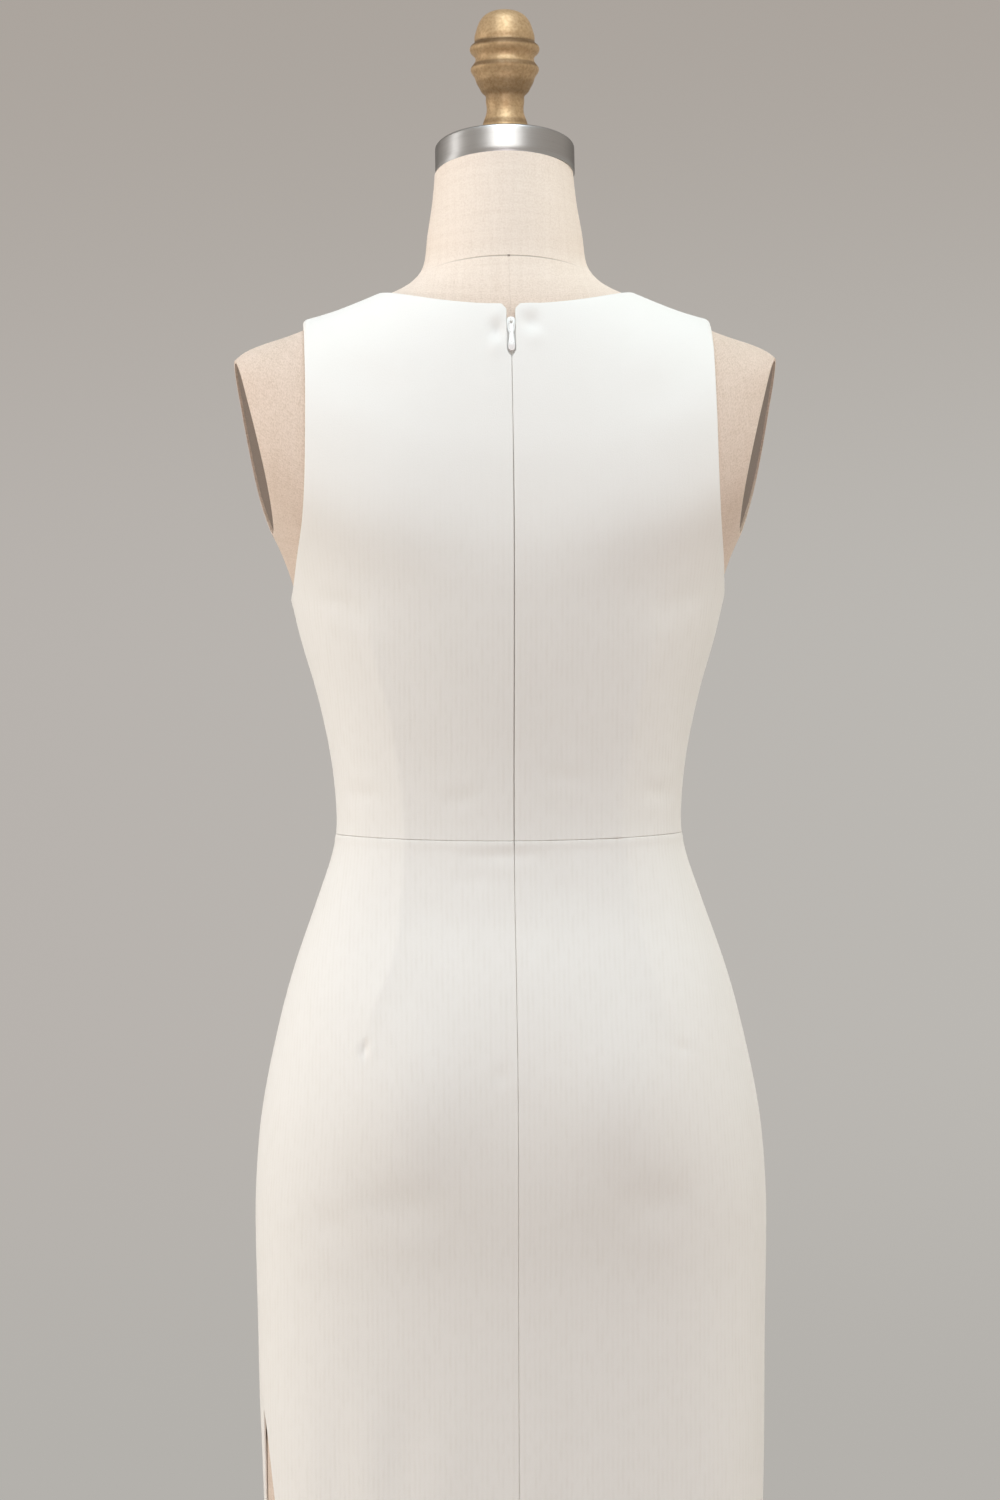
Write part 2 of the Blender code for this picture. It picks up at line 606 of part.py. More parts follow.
def form_body(material, plate_material):
    """The covered body with its recessed arm ends, and the plates that close them."""
    bm = bmesh.new()
    rings = []
    for down in torso_rows():
        turn = 2 * math.pi / TORSO_SEGMENTS
        rings.append([bm.verts.new(body_point(step * turn, down)) for step in range(TORSO_SEGMENTS)])
    for upper, lower in zip(rings, rings[1:]):
        for step in range(TORSO_SEGMENTS):
            after = (step + 1) % TORSO_SEGMENTS
            bm.faces.new((upper[step], upper[after], lower[after], lower[step]))
    bm.faces.new(rings[0])
    bm.faces.new(rings[-1])
    bmesh.ops.recalc_face_normals(bm, faces=bm.faces)
    cut_flat(bm, NECK_CUT, Vector((0, -math.sin(NECK_TILT), math.cos(NECK_TILT))))
    plates = []
    for arm in ARMS:
        normal = arm_normal(arm)
        centre = Vector((arm.side * arm.across, 0.0, ARM_HEIGHT))
        end = cut_flat(bm, centre, normal, WAIST_HEIGHT + UNDERARM_Z)
        bmesh.ops.inset_region(bm, faces=[end], thickness=ARM_RIM, use_even_offset=True)
        moved = bmesh.ops.extrude_face_region(bm, geom=[end])["geom"]
        floor = next(thing for thing in moved if isinstance(thing, bmesh.types.BMFace))
        bmesh.ops.delete(bm, geom=[end], context="FACES_ONLY")
        bmesh.ops.translate(bm, vec=-normal * ARM_RECESS, verts=floor.verts)
        plates.append((arm.name, [vert.co.copy() for vert in floor.verts], normal))
    torso = add_object("form_torso", bm, material)
    for name, outline, normal in plates:
        arm_plate(name, outline, normal, plate_material)
    return torso


def arm_plate(name, outline, normal, material):
    """A plate that lies in the arm end's recess, one seam gap from its floor and clear of its wall."""
    middle = sum(outline, Vector()) / len(outline)
    bm = bmesh.new()
    verts = []
    for point in outline:
        reach = point - middle
        inwards = reach * (1 - 2 * SEAM_GAP / reach.length)
        verts.append(bm.verts.new(middle + inwards + normal * SEAM_GAP))
    face = bm.faces.new(verts)
    moved = bmesh.ops.extrude_face_region(bm, geom=[face], use_keep_orig=True)["geom"]
    raised = [vert for vert in moved if isinstance(vert, bmesh.types.BMVert)]
    bmesh.ops.translate(bm, vec=normal * ARM_PLATE, verts=raised)
    return add_object(name, bm, material)


def neck_cap(material):
    cap = add_object("neck_cap", turned(CAP_PROFILE, CAP_SEGMENTS), material)
    lean = Matrix.Rotation(NECK_TILT, 4, "X")
    cap.matrix_world = Matrix.Translation(NECK_CUT + lean @ Vector((0, 0, SEAM_GAP))) @ lean
    return cap


def neck_finial(material):
    lean = Matrix.Rotation(NECK_TILT, 4, "X")
    seat = NECK_CUT + lean @ Vector((0, 0, CAP_HEIGHT + 2 * SEAM_GAP))
    above_seat = [(radius, height - (seat.z - WAIST_HEIGHT)) for radius, height in FINIAL_PROFILE]
    bm = turned(above_seat, FINIAL_SEGMENTS)
    place = Matrix.Translation(seat + FINIAL_OFFSET) @ Matrix.Rotation(FINIAL_TILT, 4, "X")
    bm.transform(place)
    cut_flat(bm, seat, lean @ Vector((0, 0, -1)))
    return add_object("neck_finial", bm, material, smooth_angle=50)


def stand(pole_material, base_material):
    add_object("stand_base", turned(BASE_PROFILE, BASE_SEGMENTS), base_material)
    low = BASE_HUB_HEIGHT + SEAM_GAP
    high = WAIST_HEIGHT - FORM_DROP - SEAM_GAP
    profile = ((0.0, high), (POLE_RADIUS, high), (POLE_RADIUS, low), (0.0, low))
    add_object("stand_pole", turned(profile, POLE_SEGMENTS), pole_material)


def main():
    clear_scene()
    crepe = finish_material("ivory_crepe", (0.86, 0.84, 0.80), 0.75)
    linen = finish_material("linen_cover", (0.78, 0.68, 0.57), 0.90)
    plate = finish_material("arm_plate_cloth", (0.42, 0.34, 0.27), 0.90)
    steel = finish_material("brushed_steel", (0.72, 0.71, 0.69), 0.32, 1.0)
    wood = finish_material("gilt_wood", (0.45, 0.31, 0.16), 0.50)
    iron = finish_material("painted_iron", (0.18, 0.17, 0.16), 0.50)
    tape = finish_material("zip_tape_cloth", (0.84, 0.82, 0.78), 0.80)
    enamel = finish_material("white_enamel", (0.88, 0.87, 0.84), 0.35)
    bodice_front(crepe)
    for side in (1, -1):
        bodice_back(side, crepe)
        skirt_back(side, crepe)
    skirt_front(crepe)
    zip_tape(tape)
    frame = pull_frame()
    zip_slider(frame, enamel)
    zip_pull(frame, enamel)
    form_body(linen, plate)
    neck_cap(steel)
    neck_finial(wood)
    stand(steel, iron)


main()
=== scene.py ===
import math

import bmesh
import bpy
import numpy as np
from mathutils import Matrix, Vector


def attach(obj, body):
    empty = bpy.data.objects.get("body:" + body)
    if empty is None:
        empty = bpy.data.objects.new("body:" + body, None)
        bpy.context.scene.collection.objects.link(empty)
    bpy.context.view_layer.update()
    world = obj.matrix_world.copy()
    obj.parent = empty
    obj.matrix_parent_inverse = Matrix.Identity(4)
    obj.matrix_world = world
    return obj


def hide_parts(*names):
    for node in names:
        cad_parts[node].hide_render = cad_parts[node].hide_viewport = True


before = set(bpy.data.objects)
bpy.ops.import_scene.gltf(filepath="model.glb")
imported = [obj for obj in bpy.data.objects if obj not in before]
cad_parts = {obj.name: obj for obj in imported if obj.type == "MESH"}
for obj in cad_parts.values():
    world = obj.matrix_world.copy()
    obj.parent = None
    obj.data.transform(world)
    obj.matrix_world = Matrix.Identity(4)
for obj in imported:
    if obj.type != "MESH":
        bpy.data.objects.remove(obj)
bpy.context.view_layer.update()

rootBody = "dress_and_form"
print("frame loaded:", len(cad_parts), "nodes")

# the body line that the form and the cloth follow, as in the part
body = {
    "waist": 1.050,
    "hem": 0.018,
    "knee": 0.600,
    "fluteDepth": 0.013,
    "fluteGrowth": 1.6,
    # flutes around the hem, their turn and their share
    "flutes": ((8, 0.6, 1.0), (5, 1.9, 0.35)),
    "neckline": 0.3655,
    "shoulder": 0.3563,
    "underarm": 0.1660,
    "formDrop": 0.490,
    # side height, half width, side depth, back, front, back drop, front drop, fullness
    "sections": (
        (0.4900, 0.0480, -0.020, 0.029, -0.0690, -0.010, 0.010, 0.00),
        (0.4676, 0.0493, -0.018, 0.0325, -0.0685, -0.010, 0.010, 0.00),
        (0.4420, 0.0520, -0.014, 0.039, -0.0670, -0.006, 0.014, 0.00),
        (0.4180, 0.0556, -0.010, 0.0450, -0.0655, -0.003, 0.021, 0.00),
        (0.3995, 0.0590, -0.007, 0.0500, -0.0650, -0.002, 0.031, 0.00),
        (0.3890, 0.0680, -0.004, 0.0570, -0.0665, 0.0035, 0.046, 0.02),
        (0.3788, 0.0890, -0.002, 0.0680, -0.0730, 0.0133, 0.066, 0.05),
        (0.3650, 0.1200, 0.000, 0.0805, -0.0845, 0.0315, 0.088, 0.08),
        (0.3556, 0.1430, 0.000, 0.0885, -0.0935, 0.0500, 0.103, 0.10),
        (0.3489, 0.1600, 0.000, 0.0935, -0.0990, 0.0645, 0.112, 0.10),
        (0.3347, 0.1850, 0.000, 0.0985, -0.1045, 0.0785, 0.116, 0.10),
        (0.3130, 0.1965, 0.000, 0.1013, -0.1090, 0.0835, 0.112, 0.10),
        (0.2820, 0.1980, 0.000, 0.1025, -0.1125, 0.0750, 0.098, 0.10),
        (0.2460, 0.1855, 0.000, 0.1022, -0.1140, 0.0540, 0.070, 0.10),
        (0.2096, 0.1648, 0.000, 0.1012, -0.1150, 0.0320, 0.041, 0.10),
        (0.1760, 0.1515, 0.000, 0.0992, -0.1155, 0.0140, 0.018, 0.10),
        (0.1380, 0.1420, 0.000, 0.0952, -0.1150, 0.0030, 0.004, 0.10),
        (0.1100, 0.1337, 0.000, 0.0907, -0.1125, 0.0, 0.0, 0.10),
        (0.0810, 0.1265, 0.000, 0.0852, -0.1075, 0.0, 0.0, 0.10),
        (0.0530, 0.1212, 0.000, 0.0800, -0.1015, 0.0014, 0.0, 0.09),
        (0.0250, 0.1182, 0.000, 0.0763, -0.0962, 0.0030, 0.0, 0.08),
        (0.0000, 0.1182, 0.000, 0.0750, -0.0935, 0.0038, 0.0, 0.08),
        (-0.0320, 0.1267, 0.000, 0.0782, -0.0940, 0.0028, 0.0, 0.08),
        (-0.0600, 0.1366, 0.000, 0.0840, -0.0965, 0.0014, 0.0, 0.08),
        (-0.0880, 0.1464, 0.000, 0.0925, -0.0995, 0.0004, 0.0, 0.08),
        (-0.1170, 0.1550, 0.000, 0.1005, -0.1020, 0.0, 0.0, 0.08),
        (-0.1450, 0.1618, 0.000, 0.1060, -0.1040, 0.0, 0.0, 0.08),
        (-0.1732, 0.1678, 0.000, 0.1090, -0.1050, 0.0, 0.0, 0.08),
        (-0.2015, 0.1724, 0.000, 0.1095, -0.1055, 0.0, 0.0, 0.08),
        (-0.2300, 0.1750, 0.000, 0.1080, -0.1055, 0.0, 0.0, 0.08),
        (-0.2580, 0.1763, 0.000, 0.1055, -0.1045, 0.0, 0.0, 0.08),
        (-0.2860, 0.1763, 0.000, 0.1025, -0.1035, 0.0, 0.0, 0.08),
        (-0.3430, 0.1751, 0.000, 0.0980, -0.1015, 0.0, 0.0, 0.08),
        (-0.4000, 0.1744, 0.000, 0.0955, -0.0995, 0.0, 0.0, 0.08),
        (-0.4700, 0.1730, 0.000, 0.0940, -0.0975, 0.0, 0.0, 0.08),
        (-0.5600, 0.1690, 0.000, 0.0930, -0.0950, 0.0, 0.0, 0.07),
        (-0.6400, 0.1680, 0.000, 0.0950, -0.0960, 0.0, 0.0, 0.06),
        (-0.7200, 0.1740, 0.000, 0.1040, -0.1040, 0.0, 0.0, 0.05),
        (-0.8000, 0.1890, 0.000, 0.1210, -0.1200, 0.0, 0.0, 0.03),
        (-0.8800, 0.2130, 0.000, 0.1460, -0.1440, 0.0, 0.0, 0.02),
        (-0.9600, 0.2470, 0.000, 0.1800, -0.1770, 0.0, 0.0, 0.00),
        (-1.0600, 0.3010, 0.000, 0.2350, -0.2310, 0.0, 0.0, 0.00),
    ),
    # how far round to the front or back, as a sine, a mound is full
    "moundFull": 0.8,
    # face, across, up, spread across, spread up, height
    "mounds": (
        (-1, 0.082, 0.152, 0.052, 0.058, 0.0150),
        (-1, 0.000, 0.130, 0.045, 0.060, -0.0015),
        (1, 0.080, 0.235, 0.050, 0.060, 0.0030),
        (1, 0.078, -0.185, 0.050, 0.062, 0.0075),
        (-1, 0.000, -0.110, 0.080, 0.070, 0.0040),
    ),
}

centreBack = math.pi / 2
slopeStep = 1e-4     # radians or metres over which a slope is taken


class SmoothLine:
    # a natural cubic spline through the rows of a table
    def __init__(self, places, rows):
        self.places = np.asarray(places, dtype=float)
        self.values = np.asarray(rows, dtype=float)
        steps = np.diff(self.places)
        slopes = np.diff(self.values, axis=0) / steps[:, None]
        matrix = np.eye(len(self.places))
        right = np.zeros_like(self.values)
        for row in range(1, len(self.places) - 1):
            matrix[row, row - 1:row + 2] = (steps[row - 1], 2 * (steps[row - 1] + steps[row]), steps[row])
            right[row] = 6 * (slopes[row] - slopes[row - 1])
        self.bends = np.linalg.solve(matrix, right)

    def at(self, place):
        place = np.asarray(place, dtype=float)
        row = np.clip(np.searchsorted(self.places, place) - 1, 0, len(self.places) - 2)
        step = self.places[row + 1] - self.places[row]
        before = ((self.places[row + 1] - place) / step)[..., None]
        after = 1 - before
        bend = (before ** 3 - before) * self.bends[row] + (after ** 3 - after) * self.bends[row + 1]
        straight = before * self.values[row] + after * self.values[row + 1]
        return straight + bend * (step * step / 6)[..., None]


def smooth(low, high, value):
    share = np.clip((value - low) / (high - low), 0.0, 1.0)
    return share * share * (3 - 2 * share)


def fromStart(steps):
    # distances from the first point, from the steps between points
    return np.concatenate(((0.0,), np.cumsum(steps)))


def lineThrough(rows):
    # a smooth line through rows that each start with their place
    return SmoothLine([row[0] for row in rows], [row[1:] for row in rows])


sections = np.array(body["sections"])
stretches = np.hypot(np.diff(sections[:, 1]), np.diff(sections[:, 0]))
bodyLine = SmoothLine(fromStart(stretches), sections)


def bodyPoint(angle, down):
    # angle 0 is the left side and a quarter turn the centre back; down is along the side line
    angle, down = np.broadcast_arrays(np.asarray(angle, dtype=float), np.asarray(down, dtype=float))
    row = np.moveaxis(bodyLine.at(down), -1, 0)
    sideZ, halfWidth, sideY, back, front, dropBack, dropFront, fullness = row
    across = np.cos(angle)
    along = np.sin(angle)
    behind = along > 0
    depth = np.where(behind, back - sideY, sideY - front)
    drop = np.where(behind, dropBack, dropFront)
    x = halfWidth * across * (1 + fullness * along ** 2)
    y = sideY + depth * along * (1 + fullness * across ** 2)
    z = sideZ - drop * along ** 2
    for face, moundX, moundZ, spreadX, spreadZ, height in body["mounds"]:
        facing = smooth(0.0, body["moundFull"], along * face)
        for centre in ((moundX, -moundX) if moundX else (0.0,)):
            away = ((x - centre) / spreadX) ** 2 + ((z - moundZ) / spreadZ) ** 2
            y = y + face * facing * height * np.exp(-away)
    belowKnee = np.maximum(-z - body["knee"], 0.0) / (body["waist"] - body["hem"] - body["knee"])
    wave = sum(share * np.cos(count * angle + turn) for count, turn, share in body["flutes"])
    reach = body["fluteDepth"] * belowKnee ** body["fluteGrowth"] * wave
    return np.stack((x + across * reach, y + along * reach, body["waist"] + z), axis=-1)


def bodyNormal(angle, down):
    around = bodyPoint(angle + slopeStep, down) - bodyPoint(angle - slopeStep, down)
    downwards = bodyPoint(angle, down + slopeStep) - bodyPoint(angle, down - slopeStep)
    normal = np.cross(downwards, around)
    return normal / np.linalg.norm(normal, axis=-1, keepdims=True)


def ringRate(angle, down):
    # metres along the ring for each radian
    around = bodyPoint(angle + slopeStep, down) - bodyPoint(angle - slopeStep, down)
    return np.linalg.norm(around, axis=-1) / (2 * slopeStep)


def findDown(height, backShare=0.0):
    low, high = 0.0, bodyLine.places[-1]
    for _ in range(50):
        middle = (low + high) / 2
        row = bodyLine.at(middle)
        if row[0] - backShare * row[5] > height:
            low = middle
        else:
            high = middle
    return (low + high) / 2


def angleAt(x, downs):
    # angle, from the side to the middle, at which each ring is x from the centre plane
    rows = bodyLine.at(downs)
    low = np.zeros_like(downs)
    high = np.full_like(downs, centreBack)
    for _ in range(40):
        middle = (low + high) / 2
        further = rows[:, 1] * np.cos(middle) * (1 + rows[:, 7] * np.sin(middle) ** 2) > x
        low = np.where(further, middle, low)
        high = np.where(further, high, middle)
    return low


neckline = findDown(body["neckline"], 1.0)
shoulder = findDown(body["shoulder"])
underarm = findDown(body["underarm"])
waist = findDown(0.0)
hem = findDown(body["hem"] - body["waist"])
formBottom = findDown(-body["formDrop"])
print("body line ready")

# cloth that the panels share
cloth = {
    "thickness": 0.0018,
    "standOff": 0.0040,
    "neckStandOff": 0.0027,
    "tipStandOff": 0.0066,
    # how far around from the side, and below the shoulder, the seam's own distance holds
    "seamAround": 0.75,
    "seamBelow": 0.10,
    # rounding of a turned edge, a seam's edge and, as a share of a turned edge, the edge at the zip
    "turnedRound": 0.0009,
    "seamRound": 0.00036,
    "zipRound": 0.7,
    "seamGap": 0.00010,
    "edgeSteps": (0.0, 0.00010, 0.00025, 0.00050, 0.00090, 0.0018),
    "hemDepth": 0.026,
    "hemStep": 0.00018,
    # faces across each front panel
    "bodiceFront": 130,
    "skirtFront": 150,
}


def standOff(angle, down):
    alongSeam = np.clip((down - neckline) / (shoulder - neckline), 0.0, 1.0)
    seam = cloth["neckStandOff"] + (cloth["tipStandOff"] - cloth["neckStandOff"]) * alongSeam ** 2
    nearSeam = 1 - smooth(0.0, cloth["seamAround"], np.abs(np.sin(angle)))
    nearSeam = nearSeam * (1 - smooth(shoulder, shoulder + cloth["seamBelow"], down))
    return cloth["standOff"] + (seam - cloth["standOff"]) * nearSeam


def spaced(anchors):
    # places through (place, offsets, largest step to the next anchor)
    places = []
    stepBefore = None
    for place, offsets, step in anchors:
        block = [place + offset for offset in offsets]
        if places:
            count = max(1, math.ceil((block[0] - places[-1]) / stepBefore))
            places.extend(np.linspace(places[-1], block[0], count + 1)[1:-1])
        places.extend(block)
        stepBefore = step
    return np.array(places)


def columnAngles(downs, anchors):
    # columns through (angle in each row, offsets along the row, faces to the next anchor)
    forward = np.sign(np.mean(anchors[-1][0]) - np.mean(anchors[0][0]))
    blocks = []
    facesBefore = 1
    for angle, offsets, faces in anchors:
        block = angle[:, None] + forward * np.outer(1 / ringRate(angle, downs), offsets)
        if blocks:
            last = blocks[-1][:, -1:]
            blocks.append(last + (block[:, :1] - last) * np.arange(1, facesBefore) / facesBefore)
        blocks.append(block)
        facesBefore = faces
    return np.hstack(blocks)


def placed(name, data):
    # a new object in the scene
    thing = bpy.data.objects.new(name, data)
    bpy.context.scene.collection.objects.link(thing)
    return thing


def meshFrom(name, bm):
    mesh = bpy.data.meshes.new(name)
    bm.to_mesh(mesh)
    bm.free()
    return mesh


def finished(name, mesh, material, sharp=None):
    # sharp is the angle in degrees from which an edge stays hard
    mesh.materials.append(material)
    if sharp is not None:
        mesh.shade_smooth()
        mesh.set_sharp_from_angle(angle=math.radians(sharp))
    return placed(name, mesh)


def gridFaces(index):
    return np.stack((index[:-1, :-1], index[:-1, 1:], index[1:, 1:], index[1:, :-1]), axis=-1).reshape(-1, 4)


def shellObject(name, outer, inner, grain, material):
    # a closed thin shell whose two faces share the points of their edge
    rows, columns = outer.shape[:2]
    count = rows * columns
    index = np.arange(count).reshape(rows, columns)
    behind = index.copy()
    behind[1:-1, 1:-1] = count + np.arange((rows - 2) * (columns - 2)).reshape(rows - 2, columns - 2)
    vertices = np.concatenate((outer.reshape(-1, 3), inner[1:-1, 1:-1].reshape(-1, 3)))
    uv = np.concatenate((grain.reshape(-1, 2), grain[1:-1, 1:-1].reshape(-1, 2)))
    faces = np.concatenate((gridFaces(index), gridFaces(behind)[:, ::-1]))
    mesh = bpy.data.meshes.new(name)
    mesh.from_pydata(vertices.tolist(), [], faces.tolist())
    layer = mesh.uv_layers.new(name="grain")
    corners = np.zeros(len(mesh.loops), dtype=np.int32)
    mesh.loops.foreach_get("vertex_index", corners)
    layer.data.foreach_set("uv", uv[corners].astype(np.float32).ravel())
    bm = bmesh.new()
    bm.from_mesh(mesh)
    bmesh.ops.recalc_face_normals(bm, faces=bm.faces)
    bm.to_mesh(mesh)
    bm.free()
    return finished(name, mesh, material, sharp=60)


def lengths(points, axis):
    # distance of each point from the start of its row or column
    steps = np.linalg.norm(np.diff(points, axis=axis), axis=-1)
    pad = [(0, 0), (0, 0)]
    pad[axis] = (1, 0)
    return np.pad(np.cumsum(steps, axis=axis), pad)


panels = {}


def clothPanel(node, downs, angles, rounds, relief, grainAt=0.0):
    # rounds are the radii of the top, bottom, first and last edges
    down = downs[:, None]
    surface = bodyPoint(angles, down)
    normal = bodyNormal(angles, down)
    flat = surface + normal * cloth["standOff"]
    acrossLength = lengths(flat, 1)
    downLength = lengths(flat, 0)
    nearness = (
        downLength / rounds[0],
        (downLength[-1:] - downLength) / rounds[1],
        acrossLength / np.reshape(rounds[2], (-1, 1)),
        (acrossLength[:, -1:] - acrossLength) / np.reshape(rounds[3], (-1, 1)),
    )
    closeness = sum(np.clip(1 - near, 0.0, 1.0) ** 2 for near in nearness)
    half = cloth["thickness"] / 2
    tuck = half * (1 - np.sqrt(1 - np.clip(closeness, 0.0, 1.0)))
    lift = standOff(angles, down) + relief(surface, angles, down)
    outer = surface + normal * (lift - tuck)[..., None]
    inner = surface + normal * (lift - cloth["thickness"] + tuck)[..., None]
    middle = acrossLength[:, -1:] * grainAt
    grain = np.stack((acrossLength - middle, surface[..., 2]), axis=-1)
    panel = shellObject(node + "_cloth", outer, inner, grain, crepeMaterial)
    panels[node] = panel
    downSteps = np.diff(outer, axis=0)[:, :-1]
    acrossSteps = np.diff(outer, axis=1)[:-1]
    area = np.linalg.norm(np.cross(downSteps, acrossSteps), axis=-1).sum()
    print(panel.name, "faces", len(panel.data.polygons), "area", round(float(area), 4), "width",
          round(float(acrossLength[:, -1].max()), 3), "length", round(float(downLength[-1].max()), 3))


# shader maths
def tone(red, green, blue):
    values = [channel / 255 for channel in (red, green, blue)]
    linear = [v / 12.92 if v <= 0.04045 else ((v + 0.055) / 1.055) ** 2.4 for v in values]
    return (*linear, 1.0)


class Wire:
    # wraps a socket, so that shader maths reads as arithmetic
    def __init__(self, tree, socket=None):
        self.tree = tree
        self.socket = socket

    def add(self, kind, settings=None, sockets=None, output=0):
        node = self.tree.nodes.new(kind)
        for key, value in (settings or {}).items():
            setattr(node, key, value)
        for key, value in (sockets or {}).items():
            if isinstance(value, Wire):
                self.tree.links.new(value.socket, node.inputs[key])
            else:
                node.inputs[key].default_value = value
        return Wire(self.tree, node.outputs[output])

    def maths(self, operation, *values):
        return self.add("ShaderNodeMath", {"operation": operation}, dict(enumerate(values)))

    def vector(self, operation, *values, output=0):
        return self.add("ShaderNodeVectorMath", {"operation": operation}, dict(enumerate(values)), output)

    def mix(self, low, high):
        settings = {"data_type": "RGBA", "clamp_factor": True}
        return self.add("ShaderNodeMix", settings, {0: self, 6: low, 7: high}, 2)

    def between(self, low, high):
        sockets = {"Value": self, "From Min": low, "From Max": high}
        return self.add("ShaderNodeMapRange", {"interpolation_type": "SMOOTHSTEP"}, sockets)

    def grain(self):
        return self.add("ShaderNodeUVMap", {"uv_map": "grain"})

    def place(self):
        return self.add("ShaderNodeTexCoord", output="Object")

    def noise(self, vector, scale, detail=2.0, roughness=0.5):
        sockets = {"Vector": vector, "Scale": scale, "Detail": detail, "Roughness": roughness}
        return self.add("ShaderNodeTexNoise", None, sockets)

    def noiseAt(self, x, y, detail=2.0, roughness=0.5):
        # noise at flat coordinates that carry their own scales
        flat = self.add("ShaderNodeCombineXYZ", None, {0: x, 1: y})
        return self.noise(flat, 1.0, detail, roughness)

    def bump(self, height, distance, normal=None):
        sockets = {"Distance": distance, "Height": height}
        if normal is not None:
            sockets["Normal"] = normal
        return self.add("ShaderNodeBump", None, sockets)

    def split(self, vector):
        return [self.add("ShaderNodeSeparateXYZ", None, {0: vector}, axis) for axis in range(3)]

    def sine(self):
        return self.maths("SINE", self)

    def __add__(self, other):
        return self.maths("ADD", self, other)

    def __radd__(self, other):
        return self.maths("ADD", other, self)

    def __sub__(self, other):
        return self.maths("SUBTRACT", self, other)

    def __rsub__(self, other):
        return self.maths("SUBTRACT", other, self)

    def __mul__(self, other):
        return self.maths("MULTIPLY", self, other)

    def __rmul__(self, other):
        return self.maths("MULTIPLY", other, self)

    def __truediv__(self, other):
        return self.maths("DIVIDE", self, other)


def makeMaterial(name, constants, paint):
    # constants go on the shader's own sockets; paint gives the varying ones
    material = bpy.data.materials.new(name)
    material.use_nodes = True
    tree = material.node_tree
    shader = tree.nodes["Principled BSDF"]
    for socket, value in constants.items():
        shader.inputs[socket].default_value = value
    for socket, wire in paint(Wire(tree)).items():
        tree.links.new(wire.socket, shader.inputs[socket])
    return material


crepe = {
    "light": tone(241, 238, 232),
    "dark": tone(232, 228, 220),
    "lighten": 0.06,
    "rib": 0.0036,
    "ribTone": 0.42,
    "ribHeight": 0.00008,
    # scales across and along of the rib's wander, and its strength
    "ribWander": (60.0, 45.0, 2.4),
    # scales of the patches in which the rib shows, and where they start and end in the noise
    "ribPatches": (190.0, 70.0),
    "ribShown": (0.25, 0.75),
    # heights between which the rib comes out, none at the shoulders and full below
    "ribFade": (1.340, 1.180),
    "thread": 0.00070,
    "threadLength": 1.6,
    "threadTone": 0.42,
    "threadHeight": 0.00009,
    "cloud": 30.0,
    "cloudTone": 0.30,
    "roughness": (0.70, 0.16),
}


def crepePaint(w):
    u, v, _ = w.split(w.grain())
    _, _, z = w.split(w.place())
    wanderAcross, wanderAlong, wanderBy = crepe["ribWander"]
    wander = w.noiseAt(u * wanderAcross, v * wanderAlong) * wanderBy
    rib = (u * (2 * math.pi / crepe["rib"]) + wander).sine() * 0.5 + 0.5
    patchAcross, patchAlong = crepe["ribPatches"]
    patches = w.noiseAt(u * patchAcross, v * patchAlong).between(*crepe["ribShown"])
    shown = patches * z.between(*crepe["ribFade"])
    cross = w.noiseAt(u / crepe["thread"], v / (crepe["thread"] * crepe["threadLength"]), 1.0)
    cloud = w.noiseAt(u * crepe["cloud"], v * crepe["cloud"], 3.0)
    shade = rib * shown * crepe["ribTone"] + cross * crepe["threadTone"] + cloud * crepe["cloudTone"]
    colour = (shade - crepe["lighten"]).mix(crepe["light"], crepe["dark"])
    ribBump = w.bump(rib * shown, crepe["ribHeight"])
    normal = w.bump(cross, crepe["threadHeight"], ribBump)
    base, more = crepe["roughness"]
    return {"Base Color": colour, "Roughness": base + cross * more, "Normal": normal}


crepeMaterial = makeMaterial("ivory_crepe", {"Sheen Weight": 0.08, "Sheen Roughness": 0.5,
                                             "Specular IOR Level": 0.30}, crepePaint)

linen = {
    "light": tone(232, 212, 195),
    "dark": tone(200, 177, 154),
    "neckLight": tone(243, 228, 212),
    "neckDark": tone(222, 203, 184),
    "lighten": 0.34,
    "neckLighten": 0.30,
    "thread": 0.00085,
    "threadTone": 0.45,
    "gapTone": 0.30,
    "height": 0.00018,
    "fleck": 0.0013,
    "fleckTone": 1.9,
    # scales across and along a slub, and its strength on the body and more on the neck
    "slub": (260.0, 16.0),
    "slubTone": (0.35, 0.35),
    "cloud": 22.0,
    "cloudTone": 0.2,
    "roughness": (0.86, 0.1),
    # the neck seam's middle and tilt, and the stretch below it in which the linen turns paler
    "neckSeam": (0.0, 0.050, 1.4530),
    "neckTilt": 12.0,
    "neckFade": (-0.060, 0.002),
    "seam": tone(104, 78, 58),
    "seamDepth": 5.0,
    "seamBack": (0.0, 0.01),
    # each line's distance from its middle, its distance from its end, and its strength
    "seamLine": ((0.00075, 0.00010), (0.060, 0.020), 0.38),
    "middleLine": ((0.0006, 0.0001), (1.4525, 1.4520), 0.06),
    "stitch": ((0.0010, 0.0004), (0.0013, 0.0006), 0.8),
}
# one thread's step in the noise from the next, its scale along, its least height and the rest
weave = {"shift": 7.31, "slubScale": 160.0, "least": 0.55, "more": 0.9}


def threads(w, along, across, size):
    # one set of threads: its height across, uneven along each thread
    row = w.maths("FLOOR", across / size)
    uneven = w.noiseAt(row * weave["shift"], along * weave["slubScale"])
    rise = w.maths("ABSOLUTE", (across * (math.pi / size)).sine())
    return rise * (weave["least"] + uneven * weave["more"]), uneven


